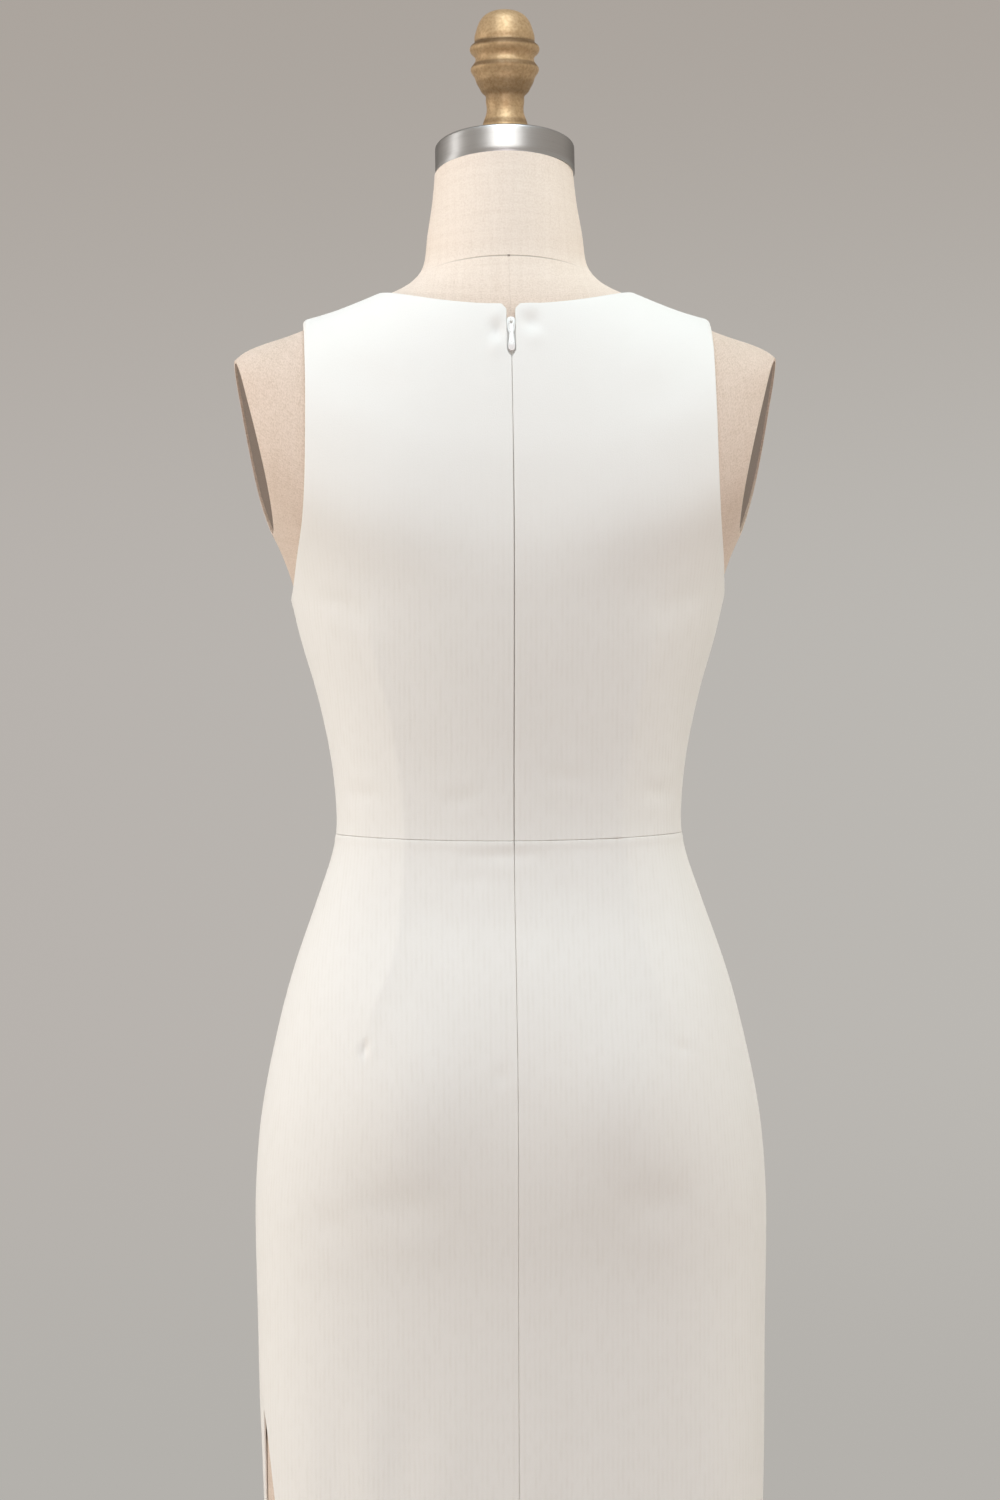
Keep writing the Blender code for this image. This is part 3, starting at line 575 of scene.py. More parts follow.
def seamLines(w, place, above):
    # the neck seam, the short seam below it and the stitch where they meet
    x, y, z = w.split(place)
    side = w.maths("ABSOLUTE", x)
    off = w.maths("ABSOLUTE", above)
    back = y.between(*linen["seamBack"])
    width, ends, strength = linen["seamLine"]
    line = off.between(*width) * side.between(*ends) * strength
    width, ends, strength = linen["middleLine"]
    middle = side.between(*width) * z.between(*ends) * strength
    width, ends, strength = linen["stitch"]
    stitch = off.between(*width) * side.between(*ends)
    return w.maths("MAXIMUM", line, middle) * back, stitch * back * strength


def linenPaint(w):
    place = w.place()
    tilt = math.radians(linen["neckTilt"])
    offset = w.vector("SUBTRACT", place, linen["neckSeam"])
    above = w.vector("DOT_PRODUCT", offset, (0.0, -math.sin(tilt), math.cos(tilt)), output="Value")
    neckShare = above.between(*linen["neckFade"])
    u, v, _ = w.split(w.grain())
    warp, warpTone = threads(w, v, u, linen["thread"])
    weft, weftTone = threads(w, u, v, linen["thread"])
    height = w.maths("MAXIMUM", warp, weft)
    gap = 1.0 - height
    fleck = w.noiseAt(u / linen["fleck"], v / linen["fleck"], 2.0, 0.6)
    cloud = w.noiseAt(u * linen["cloud"], v * linen["cloud"], 3.0)
    fine, coarse = linen["slub"]
    slub = w.noiseAt(u * fine, v * coarse) + w.noiseAt(u * coarse, v * fine)
    onBody, onNeck = linen["slubTone"]
    shade = gap * linen["gapTone"] + (1.0 - warpTone) * linen["threadTone"]
    shade = shade + (1.0 - weftTone) * linen["threadTone"] + cloud * linen["cloudTone"]
    shade = shade + (fleck - 0.5) * linen["fleckTone"] + (slub - 1.0) * (onBody + neckShare * onNeck)
    light = neckShare.mix(linen["light"], linen["neckLight"])
    dark = neckShare.mix(linen["dark"], linen["neckDark"])
    paler = 1.0 - neckShare * linen["neckLighten"]
    colour = ((shade - linen["lighten"]) * paler).mix(light, dark)
    seam, stitch = seamLines(w, place, above)
    colour = w.maths("MAXIMUM", seam, stitch).mix(colour, linen["seam"])
    normal = w.bump(height - seam * linen["seamDepth"], linen["height"])
    base, more = linen["roughness"]
    return {"Base Color": colour, "Roughness": base + gap * more, "Normal": normal}


linenMaterial = makeMaterial("natural_linen", {"Sheen Weight": 0.10, "Specular IOR Level": 0.25}, linenPaint)

# the arm plates' cloth is painted dark: painted shade for the recessed shoulder ends, on top of the shade the
# recess itself casts
armShadedCloth = {
    "light": tone(130, 112, 97),
    "dark": tone(102, 86, 72),
    "darken": 1.1,
    "thread": 0.0008,
    "threadTone": 0.4,
    "gapTone": 0.6,
    "height": 0.00012,
}


# paints the plate cloth's weave over a dark colour that is painted shade
def armShadePaint(w):
    _, y, z = w.split(w.place())
    warp, warpTone = threads(w, z, y, armShadedCloth["thread"])
    weft, _ = threads(w, y, z, armShadedCloth["thread"])
    height = w.maths("MAXIMUM", warp, weft)
    shade = armShadedCloth["darken"] - height * armShadedCloth["gapTone"] - warpTone * armShadedCloth["threadTone"]
    colour = shade.mix(armShadedCloth["light"], armShadedCloth["dark"])
    return {"Base Color": colour, "Normal": w.bump(height, armShadedCloth["height"])}


# the arm plates' material, whose dark colour is painted shade
armShadedMaterial = makeMaterial("arm_cloth", {"Roughness": 0.9, "Sheen Weight": 0.1}, armShadePaint)

tape = {
    "light": tone(250, 248, 243),
    "dark": tone(232, 228, 220),
    "thread": 0.0005,
    "waleTone": 0.5,
    "fleck": 900.0,
    "fleckTone": 0.4,
    "height": 0.00005,
}


def tapePaint(w):
    u, v, _ = w.split(w.grain())
    wale = ((u + v) * (2 * math.pi / tape["thread"])).sine() * 0.5 + 0.5
    fleck = w.noiseAt(u * tape["fleck"], v * tape["fleck"])
    colour = (wale * tape["waleTone"] + fleck * tape["fleckTone"]).mix(tape["light"], tape["dark"])
    return {"Base Color": colour, "Normal": w.bump(wale, tape["height"])}


tapeMaterial = makeMaterial("zip_tape", {"Roughness": 0.8}, tapePaint)

enamel = {
    "base": tone(243, 243, 238),
    "worn": tone(205, 202, 194),
    "speck": 900.0,
    "wornFrom": (0.55, 0.75),
    # the pull's dish, between these heights
    "dish": tone(204, 192, 186),
    "dishFade": (1.3895, 1.3865),
    "dishTone": 0.7,
    "roughness": (0.25, 0.2),
    "height": 0.00003,
}


def enamelPaint(w):
    place = w.place()
    speck = w.noise(place, enamel["speck"], 3.0)
    colour = speck.between(*enamel["wornFrom"]).mix(enamel["base"], enamel["worn"])
    _, _, z = w.split(place)
    colour = (z.between(*enamel["dishFade"]) * enamel["dishTone"]).mix(colour, enamel["dish"])
    base, more = enamel["roughness"]
    return {"Base Color": colour, "Roughness": base + speck * more, "Normal": w.bump(speck, enamel["height"])}


enamelMaterial = makeMaterial("white_enamel", {"Coat Weight": 0.3}, enamelPaint)

steel = {
    "light": tone(214, 213, 211),
    "dark": tone(176, 174, 171),
    # scales around and along, and strength, of the fine and the broad brush marks
    "fine": (12.0, 2600.0, 0.6),
    "broad": (5.0, 300.0, 0.4),
    "roughness": (0.22, 0.18),
    "height": 0.00002,
}


def steelPaint(w):
    u, v, _ = w.split(w.grain())
    around, along, fineTone = steel["fine"]
    streak = w.noiseAt(u * around, v * along, 4.0, 0.7)
    around, along, broadTone = steel["broad"]
    broad = w.noiseAt(u * around, v * along)
    colour = (streak * fineTone + broad * broadTone).mix(steel["dark"], steel["light"])
    base, more = steel["roughness"]
    normal = w.bump(streak, steel["height"])
    return {"Base Color": colour, "Roughness": base + streak * more, "Normal": normal}


steelMaterial = makeMaterial("brushed_steel", {"Metallic": 1.0, "Anisotropic": 0.5,
                                               "Specular Tint": (0.35, 0.34, 0.33, 1.0)}, steelPaint)

gilt = {
    "light": tone(200, 169, 128),
    "wash": tone(182, 149, 107),
    # the patina colour, also used for the bands of painted shade
    "patinaAndShade": tone(84, 57, 25),
    "brush": 500.0,
    "washFrom": (0.35, 0.70),
    # scale and strength of the patina's flecks and clouds
    "fleck": (1300.0, 0.18),
    "cloud": (70.0, 0.30),
    # middle height, half height and strength of each band of painted shade in the turnings and under the bowl
    "shadeBands": ((1.6122, 0.0034, 0.80), (1.5966, 0.0028, 0.65), (1.5790, 0.0120, 0.40), (1.5560, 0.0030, 0.45)),
    "bandSoft": 0.25,
    "roughness": (0.44, 0.12, 0.12),
    "fleckHeight": 0.5,
    "height": 0.00003,
}


def giltPaint(w):
    place = w.place()
    _, _, z = w.split(place)
    fleckScale, fleckTone = gilt["fleck"]
    cloudScale, cloudTone = gilt["cloud"]
    brushed = w.noise(place, gilt["brush"], 3.0)
    fleck = w.noise(place, fleckScale)
    cloud = w.noise(place, cloudScale, 3.0)
    colour = brushed.between(*gilt["washFrom"]).mix(gilt["light"], gilt["wash"])
    patinaAndShade = (fleck - 0.5) * fleckTone + (cloud - 0.5) * cloudTone
    # the bands darken the coves and the bowl's underside: painted shade, added to the real patina of flecks
    # and clouds
    for height, half, strength in gilt["shadeBands"]:
        patinaAndShade = patinaAndShade + w.maths("ABSOLUTE", z - height).between(half, half * gilt["bandSoft"]) * strength
    colour = patinaAndShade.mix(colour, gilt["patinaAndShade"])
    base, brushMore, patinaMore = gilt["roughness"]
    return {"Base Color": colour, "Roughness": base + brushed * brushMore + patinaAndShade * patinaMore,
            "Normal": w.bump(brushed + fleck * gilt["fleckHeight"], gilt["height"])}


giltMaterial = makeMaterial("gilt_wood", {"Metallic": 0.6, "Coat Weight": 0.06, "Coat Roughness": 0.4},
                            giltPaint)

iron = {
    "light": tone(70, 68, 66),
    "dark": tone(46, 45, 44),
    "peel": 260.0,
    "dust": 14.0,
    "dustFrom": (0.3, 0.8),
    "roughness": (0.34, 0.25),
    "height": 0.00010,
}


def ironPaint(w):
    place = w.place()
    peel = w.noise(place, iron["peel"], 3.0)
    dust = w.noise(place, iron["dust"], 4.0)
    colour = dust.between(*iron["dustFrom"]).mix(iron["dark"], iron["light"])
    base, more = iron["roughness"]
    return {"Base Color": colour, "Roughness": base + dust * more, "Normal": w.bump(peel, iron["height"])}


ironMaterial = makeMaterial("painted_iron", {"Coat Weight": 0.15}, ironPaint)

floor = {
    "light": tone(196, 192, 187),
    "dark": tone(188, 184, 178),
    "mottle": 3.0,
    "roughness": (0.75, 0.15),
    "radius": 2.8,
    "segments": 96,
    "fade": (2.75, 1.30),
}


def floorPaint(w):
    place = w.place()
    mottle = w.noise(place, floor["mottle"], 4.0)
    away = w.vector("LENGTH", place, output="Value")
    base, more = floor["roughness"]
    return {"Base Color": mottle.mix(floor["light"], floor["dark"]), "Roughness": base + mottle * more,
            "Alpha": away.between(*floor["fade"])}


floorMaterial = makeMaterial("pale_floor", {"Specular IOR Level": 0.2}, floorPaint)
print("materials ready")

# creases, in metres across and up from the waist
bodiceCreases = {
    # x, z, end x, end z, width, depth
    "back": (
        (0.0035, 0.3468, 0.0170, 0.3475, 0.0064, 0.0024),
        (-0.0050, 0.3510, -0.0230, 0.3545, 0.0060, 0.0022),
        (0.0700, 0.3000, 0.1180, 0.3250, 0.0140, 0.0006),
        (-0.0800, 0.2900, -0.1200, 0.3180, 0.0150, 0.0005),
        (0.0950, 0.1500, 0.1400, 0.1720, 0.0070, 0.0007),
        (-0.0900, 0.1480, -0.1380, 0.1760, 0.0080, 0.0006),
        (0.0850, 0.0250, 0.1180, 0.0330, 0.0060, 0.0006),
        (-0.0820, 0.0320, -0.1170, 0.0270, 0.0065, 0.0006),
        (0.0150, 0.0300, 0.0560, 0.0220, 0.0060, 0.0004),
        (-0.0120, 0.0450, -0.0600, 0.0360, 0.0070, 0.0004),
    ),
    "front": (
        (0.1080, 0.1800, 0.0750, 0.1560, 0.0070, 0.0009),
        (-0.1090, 0.1760, -0.0760, 0.1540, 0.0070, 0.0009),
        (0.1180, 0.1500, 0.0860, 0.1400, 0.0080, 0.0008),
        (-0.1170, 0.1470, -0.0900, 0.1380, 0.0080, 0.0007),
        (-0.0480, 0.1500, 0.0450, 0.1530, 0.0120, 0.0010),
        (0.0850, 0.0260, 0.1150, 0.0380, 0.0060, 0.0007),
        (-0.0820, 0.0300, -0.1160, 0.0350, 0.0060, 0.0007),
        (-0.0550, 0.0210, 0.0350, 0.0250, 0.0065, 0.0005),
    ),
}
skirtCreases = {
    "back": (
        (0.0480, -0.0150, -0.0260, -0.0140, 0.0046, 0.0005),
        (0.0520, -0.0330, 0.0060, -0.0290, 0.0080, 0.0004),
        (-0.0100, -0.0350, -0.0620, -0.0420, 0.0090, 0.0003),
        (0.1012, -0.1390, 0.1030, -0.1530, 0.0026, 0.0020),
        (-0.1110, -0.1430, -0.1150, -0.1520, 0.0048, 0.0010),
        (0.0060, -0.1560, 0.0160, -0.1700, 0.0060, 0.0006),
        (0.1120, -0.2480, 0.0420, -0.2540, 0.0140, 0.0012),
        (-0.0620, -0.2500, -0.1250, -0.2520, 0.0150, 0.0011),
        (0.1480, -0.2620, 0.1050, -0.2680, 0.0120, 0.0007),
        (0.1250, -0.3700, 0.1150, -0.5400, 0.0130, 0.0012),
        (0.0700, -0.3550, 0.0850, -0.5000, 0.0150, 0.0009),
        (-0.0330, -0.3900, -0.0260, -0.5300, 0.0100, 0.0008),
        (-0.1180, -0.3500, -0.1050, -0.5600, 0.0160, 0.0009),
        (0.0340, -0.4300, 0.0420, -0.6200, 0.0150, 0.0010),
        (-0.0750, -0.4600, -0.0820, -0.6800, 0.0180, 0.0012),
    ),
    "front": (
        (0.0850, -0.0180, 0.0200, -0.0150, 0.0045, 0.0008),
        (-0.0250, -0.0160, -0.0900, -0.0200, 0.0050, 0.0007),
        (0.1250, -0.2300, 0.0650, -0.2460, 0.0130, 0.0011),
        (-0.0600, -0.2440, -0.1260, -0.2320, 0.0140, 0.0010),
        (0.1150, -0.3700, 0.1050, -0.5500, 0.0140, 0.0012),
        (0.0420, -0.3900, 0.0520, -0.5900, 0.0170, 0.0010),
        (-0.0400, -0.4000, -0.0300, -0.6000, 0.0150, 0.0010),
        (-0.1120, -0.3600, -0.1180, -0.5700, 0.0160, 0.0011),
        (0.0050, -0.5000, 0.0000, -0.7200, 0.0160, 0.0012),
    ),
}
# how far a crease runs past its ends, and the lip pushed up at each side of it
creaseShape = {"overrun": 1.25, "lipHeight": 0.4, "lipAway": 1.9}


def creaseRelief(surface, table):
    x = surface[..., 0]
    z = surface[..., 2] - body["waist"]
    overrun = creaseShape["overrun"]
    total = np.zeros_like(x)
    for startX, startZ, endX, endZ, width, depth in table:
        length = math.hypot(endX - startX, endZ - startZ)
        across = (endX - startX) / length
        up = (endZ - startZ) / length
        along = ((x - startX) * across + (z - startZ) * up) / length * 2 - 1
        away = ((x - startX) * up - (z - startZ) * across) / width
        ends = (np.clip(overrun - along ** 2, 0.0, overrun) / overrun) ** 2
        lip = creaseShape["lipHeight"] * np.exp(-(np.abs(away) - creaseShape["lipAway"]) ** 2)
        total -= depth * ends * (np.exp(-away ** 2) - lip)
    return total


armhole = {
    # share of the way down, back and front distance from the centre plane
    "rows": (
        (0.00, 0.1415, 0.1415),
        (0.20, 0.1410, 0.1375),
        (0.45, 0.1415, 0.1350),
        (0.70, 0.1433, 0.1370),
        (0.88, 0.1462, 0.1430),
        (0.94, 0.1473, 0.1455),
        (1.00, 0.1490, 0.1490),
    ),
    "corner": 0.0040,
    # radius of the edge's roll at the end of the shoulder seam, its end and its fade below
    "tipRound": 0.0046,
    "tipEnd": 0.1423,
    "tipFade": (0.002, 0.028),
}
armholeLine = lineThrough(armhole["rows"])


def tipRelief(surface):
    # the armhole's edge rolls over at the end of the shoulder seam
    radius = armhole["tipRound"]
    inside = np.clip((armhole["tipEnd"] - np.abs(surface[..., 0])) / radius, 0.0, 1.0)
    roll = radius * (1 - np.sqrt(1 - (1 - inside) ** 2))
    below = body["waist"] + body["shoulder"] - surface[..., 2]
    return -roll * (1 - smooth(*armhole["tipFade"], below))


def armholeAngle(downs, column):
    share = np.clip((downs - shoulder) / (underarm - shoulder), 0.0, 1.0)
    reach = armholeLine.at(share)[:, column]
    angle = angleAt(reach, downs)
    corner = np.sqrt(np.clip((downs - shoulder) / armhole["corner"], 0.0, 1.0))
    inside = (downs > shoulder) & (downs < underarm)
    return np.where(inside, angle * corner, 0.0)


slot = {
    # half width over the pull and at the neckline, and the heights where the slot changes
    "halfWidth": 0.00292,
    "mouth": 0.0060,
    "top": 0.3605,
    "bottom": 0.3330,
    "end": 0.3275,
    # height above the waist and width of the closed line there
    "gaps": ((-0.272, 0.00005), (-0.262, 0.00008), (-0.010, 0.00010), (0.000, 0.00045), (0.240, 0.00042),
             (0.285, 0.00014), (0.360, 0.00012)),
}


def slotHalfWidth(height):
    # half the opening between the back edges at a height above the waist
    closed = np.interp(height, *zip(*slot["gaps"])) / 2
    open = closed + (slot["halfWidth"] - closed) * smooth(slot["end"], slot["bottom"], height)
    return open + (slot["mouth"] - slot["halfWidth"]) * smooth(slot["top"], body["neckline"], height) ** 2


bodiceDart = {
    # height above the waist and distance from the centre plane
    "places": ((0.000, 0.0725), (0.030, 0.0740), (0.060, 0.0785), (0.090, 0.0840), (0.120, 0.0920),
               (0.140, 0.0960)),
    # height and reach of the ridge, and the heights between which it comes in
    "ridge": 0.0024,
    "reach": 0.016,
    "fade": (0.175, 0.110),
    # heights between which the line eases to the panel's middle, and faces from the zip to the line
    "blend": (0.150, 0.230),
    "columns": 34,
}
skirtDarts = {
    "left": ((-0.003, 0.0729), (-0.030, 0.0745), (-0.072, 0.0787), (-0.097, 0.0857), (-0.117, 0.0950),
             (-0.146, 0.1032)),
    "right": ((-0.009, 0.0760), (-0.033, 0.0792), (-0.061, 0.0825), (-0.100, 0.0935), (-0.126, 0.1022),
              (-0.150, 0.1130)),
    "ridge": 0.0023,
    "reach": 0.017,
    "fade": (-0.170, -0.095),
    "blend": (-0.170, -0.420),
    "columns": 40,
}
# the stitched line along a dart, the columns beside it and the faces from there to the side
dartStitch = {
    "depth": 0.00010,
    "width": 0.0007,
    "soft": 0.0005,
    "offsets": (-0.0016, -0.0008, -0.0004, 0.0, 0.0004, 0.0008, 0.0016),
    "columns": 36,
}


def dartAngles(downs, places, restAngle, blend):
    # the dart's angle in each row, easing to restAngle beyond its point
    rows = bodyLine.at(downs)
    heights = rows[:, 0] - 0.5 * rows[:, 5]     # the ring is half way down its drop there
    order = sorted(places)
    x = np.interp(heights, [place[0] for place in order], [place[1] for place in order])
    angle = angleAt(x, downs)
    return angle + (restAngle - angle) * smooth(*blend, heights), heights


def dartRelief(angles, down, dartAngle, strength, dart):
    # a shallow ridge with the stitched line along its top
    soft = dartStitch["soft"]
    away = (angles - dartAngle[:, None]) * ringRate(angles, down)
    ridge = dart["ridge"] * np.exp(-(np.sqrt(away ** 2 + soft ** 2) - soft) / dart["reach"])
    line = dartStitch["depth"] * np.exp(-(away / dartStitch["width"]) ** 2)
    return (ridge - line) * strength[:, None]


edge = cloth["edgeSteps"]
edgeEnd = tuple(-step for step in reversed(edge))


def backPanel(node, side, downs, start, end, rounds, dart, places, folds):
    # one back panel, from the centre back to the side, with its dart
    line, heights = dartAngles(downs, places, (start + end) / 2, dart["blend"])
    angles = columnAngles(downs, ((start, edge, dart["columns"]),
                                  (line, dartStitch["offsets"], dartStitch["columns"]), (end, edgeEnd, 1)))
    strength = smooth(*dart["fade"], heights)
    if side < 0:
        angles = math.pi - angles
        line = math.pi - line

    def relief(surface, angles, down):
        return folds(surface, angles, down) + dartRelief(angles, down, line, strength, dart)

    clothPanel(node, downs, angles, rounds, relief)


def sideEdge(downs):
    return cloth["seamGap"] / 2 / ringRate(0.0, downs)


# the bodice, with rows at these places, offsets and largest steps
bodiceDowns = spaced((
    (neckline, edge, 0.0015),
    (findDown(0.3160, 1.0), (0.0,), 0.0022),
    (shoulder, (0.0, 0.0002, 0.0006, 0.0012, 0.0022, 0.0040), 0.0022),
    (underarm, (-0.0040, -0.0022, -0.0012, -0.0006, -0.0002, 0.0, 0.0010), 0.0024),
    (waist - cloth["seamGap"] / 2, edgeEnd, 1.0),
))
inArmhole = (bodiceDowns > shoulder) & (bodiceDowns < underarm)
bodiceEnds = np.where(inArmhole, cloth["turnedRound"], cloth["seamRound"])
bodiceEdges = (cloth["turnedRound"], cloth["seamRound"])


def bodiceRelief(surface, table):
    return creaseRelief(surface, table) + tipRelief(surface)


for side, word in ((1, "left"), (-1, "right")):
    heights = bodyPoint(centreBack, bodiceDowns)[:, 2] - body["waist"]
    start = centreBack - slotHalfWidth(heights) / ringRate(centreBack, bodiceDowns)
    end = np.where(inArmhole, armholeAngle(bodiceDowns, 0), sideEdge(bodiceDowns))
    rounds = (*bodiceEdges, cloth["turnedRound"] * cloth["zipRound"], bodiceEnds)
    backPanel("bodice_back_" + word, side, bodiceDowns, start, end, rounds, bodiceDart, bodiceDart["places"],
              lambda surface, angles, down: bodiceRelief(surface, bodiceCreases["back"]))

edgeFront = np.where(inArmhole, armholeAngle(bodiceDowns, 1), sideEdge(bodiceDowns))
angles = columnAngles(bodiceDowns, ((-edgeFront, edge, cloth["bodiceFront"]),
                                    (edgeFront - math.pi, edgeEnd, 1)))
clothPanel("bodice_front", bodiceDowns, angles, (*bodiceEdges, bodiceEnds, bodiceEnds),
           lambda surface, angles, down: bodiceRelief(surface, bodiceCreases["front"]), 0.5)

# the skirt
slit = {
    # where the left side seam turns to the back, and the slit's top, both below the waist
    "turn": 0.346,
    "drop": 0.396,
    # drop, then the back and front edges' distances from the side line
    "rows": (
        (0.346, 0.00008, 0.00008),
        (0.362, 0.00588, -0.00572),
        (0.380, 0.01388, -0.01372),
        (0.396, 0.01988, -0.01972),
        (0.410, 0.02500, -0.01650),
        (0.440, 0.03200, -0.01200),
        (0.480, 0.03850, -0.00750),
        (0.560, 0.04500, -0.00200),
        (0.700, 0.05000, 0.00300),
        (0.860, 0.05500, 0.01700),
        (1.040, 0.06200, 0.03000),
    ),
}
slitLine = lineThrough(slit["rows"])
slitTop = findDown(-slit["drop"])
hemStart = hem - cloth["hemDepth"]
skirtDowns = spaced((
    (waist + cloth["seamGap"] / 2, edge, 0.0018),
    (waist + 0.0240, (0.0,), 0.0034),
    (slitTop, (0.0, 0.0005, 0.0015), 0.0034),
    (findDown(-0.480), (0.0,), 0.0055),
    (hemStart, (-0.0010, -0.0003, 0.0003, 0.0010), 0.0050),
    (hem, edgeEnd, 1.0),
))
belowSlit = skirtDowns > slitTop
slitRounds = np.where(belowSlit, cloth["turnedRound"], cloth["seamRound"])


def slitEdge(downs, column):
    drop = -bodyLine.at(downs)[:, 0]
    reach = slitLine.at(np.maximum(drop, slit["turn"]))[:, column]
    reach = np.where(drop > slit["turn"], reach, cloth["seamGap"] / 2)
    return reach / ringRate(0.0, downs)


drape = {
    # rise, distance below the waist and spread of the ridge over the waist seam
    "seamRidge": (0.0003, 0.0030, 0.0026),
    "hemSoft": 0.0006,
    # rise, height and spread of the seat, and how far around it reaches
    "seat": (0.0016, -0.245, 0.048),
    "seatAround": (0.1, 0.9),
    # how far the slit's front edge lies in, over what width, and where that starts and ends
    "slitLie": (0.0019, 0.022),
    "slitFrom": (-0.03, 0.05),
    "slitTo": (0.1, 0.3),
}


def skirtRelief(surface, angles, down, table):
    rise, place, spread = drape["seamRidge"]
    ridge = rise * np.exp(-((down - waist - place) / spread) ** 2)
    turned = cloth["hemStep"] * smooth(-drape["hemSoft"], drape["hemSoft"], down - hemStart)
    rise, height, spread = drape["seat"]
    seat = rise * np.exp(-((surface[..., 2] - body["waist"] - height) / spread) ** 2)
    seat = seat * smooth(*drape["seatAround"], np.sin(angles))
    return creaseRelief(surface, table) + ridge + turned + seat


gap = np.interp(bodyLine.at(skirtDowns)[:, 0], *zip(*slot["gaps"]))
for side, word in ((1, "left"), (-1, "right")):
    start = centreBack - gap / 2 / ringRate(centreBack, skirtDowns)
    end = slitEdge(skirtDowns, 0) if side > 0 else sideEdge(skirtDowns)
    rounds = (cloth["seamRound"], cloth["turnedRound"], cloth["seamRound"],
              slitRounds if side > 0 else cloth["seamRound"])
    backPanel("skirt_back_" + word, side, skirtDowns, start, end, rounds, skirtDarts, skirtDarts[word],
              lambda surface, angles, down: skirtRelief(surface, angles, down, skirtCreases["back"]))

frontLeft = -slitEdge(skirtDowns, 1)
frontRight = sideEdge(skirtDowns) - math.pi


def frontSkirtRelief(surface, angles, down):
    # the free edge of the slit lies a little closer to the form
    drop, reach = drape["slitLie"]
    away = (frontLeft[:, None] - angles) * ringRate(angles, down)
    free = smooth(*drape["slitFrom"], down - slitTop) * (1 - smooth(*drape["slitTo"], down - slitTop))
    lie = drop * free * np.exp(-(away / reach) ** 2)
    return skirtRelief(surface, angles, down, skirtCreases["front"]) - lie


angles = columnAngles(skirtDowns, ((frontLeft, edge, cloth["skirtFront"]), (frontRight, edgeEnd, 1)))
clothPanel("skirt_front", skirtDowns, angles,
           (cloth["seamRound"], cloth["turnedRound"], slitRounds, cloth["seamRound"]), frontSkirtRelief, 0.5)
print("cloth panels made")


def cutFlat(bm, point, normal, floorHeight=-math.inf):
    # cuts away what lies beyond a plane, from the faces above floorHeight, and closes the cut
    faces = [face for face in bm.faces if face.calc_center_median().z > floorHeight]
    edges = dict.fromkeys(edge for face in faces for edge in face.edges)     # keeps the order each run
    verts = dict.fromkeys(vert for face in faces for vert in face.verts)
    cut = bmesh.ops.bisect_plane(bm, geom=faces + list(edges) + list(verts), dist=1e-6, plane_co=point,
                                 plane_no=normal, clear_outer=True)
    rim = [thing for thing in cut["geom_cut"] if isinstance(thing, bmesh.types.BMEdge)]
    return bmesh.ops.contextual_create(bm, geom=rim)["faces"][0]


def turnedObject(name, profile, segments, material, place=None, cut=None):
    # profile is radius and height from the top of the axis to its foot
    radius, height = np.array(profile).T
    turn = np.arange(segments + 1) * 2 * math.pi / segments
    along = fromStart(np.hypot(np.diff(radius), np.diff(height)))
    widest = float(radius.max())
    bm = bmesh.new()
    layer = bm.loops.layers.uv.new("grain")
    rings = []
    for r, z in zip(radius, height):
        if r < 1e-7:
            rings.append([bm.verts.new((0.0, 0.0, z))])
        else:
            rings.append([bm.verts.new((r * math.cos(a), r * math.sin(a), z)) for a in turn[:-1]])
    for index in range(len(profile) - 1):
        for step in range(segments):
            corners = []
            for row, columns in ((index, (step, step + 1)), (index + 1, (step + 1, step))):
                ring = rings[row]
                if len(ring) == 1:
                    corners.append((ring[0], row, columns[0]))
                else:
                    corners.extend((ring[column % segments], row, column) for column in columns)
            face = bm.faces.new([corner[0] for corner in corners])
            for loop, (_, row, column) in zip(face.loops, corners):
                loop[layer].uv = (turn[column] * widest, along[row])
    if place is not None:
        bm.transform(place)
    if cut is not None:
        cutFlat(bm, *cut)
    bmesh.ops.recalc_face_normals(bm, faces=bm.faces)
    return finished(name, meshFrom(name, bm), material, sharp=38)


def refined(profile, count):
    # the profile as a smooth curve of count points
    points = np.array(profile)
    along = fromStart(np.hypot(*np.diff(points, axis=0).T))
    return SmoothLine(along, points).at(np.linspace(0.0, along[-1], count))


neck = {
    "tilt": math.radians(12),
    "cut": Vector((-0.0008, -0.018, body["waist"] + 0.4676)),
    "gap": 0.0003,
    "capRadius": 0.0496,
    "capHeight": 0.021,
    "capFlat": 0.0040,
    "capRound": 0.0022,
    "capSegments": 160,
    # distance in from the side, and height, of the cap's lower edge
    "capFoot": ((0.0, 0.0008), (0.0003, 0.0002), (0.0008, 0.0)),
    "finialTilt": math.radians(3),
    "finialShift": -0.0006,
    "finialPoints": 110,
    "finialSegments": 96,
    # radius and height above the waist
    "finial": (
        (0.0000, 0.5870), (0.0085, 0.5858), (0.0145, 0.5826), (0.0183, 0.5775), (0.0204, 0.5715),
        (0.0215, 0.5655), (0.0216, 0.5630), (0.0238, 0.5612), (0.0249, 0.5586), (0.0238, 0.5558),
        (0.0213, 0.5532), (0.0209, 0.5505), (0.0230, 0.5468), (0.0244, 0.5442), (0.0234, 0.5414),
        (0.0217, 0.5388), (0.0202, 0.5345), (0.0183, 0.5310), (0.0167, 0.5280), (0.0146, 0.5260),
        (0.0139, 0.5251), (0.0137, 0.5225), (0.0131, 0.5160), (0.0136, 0.5118), (0.0150, 0.5078),
        (0.0166, 0.5020), (0.0172, 0.4780),
    ),
}
lean = Matrix.Rotation(neck["tilt"], 4, "X")
capRadius, capHeight, capRound = neck["capRadius"], neck["capHeight"], neck["capRound"]
capProfile = [(0.0, capHeight), (capRadius - neck["capFlat"], capHeight)]
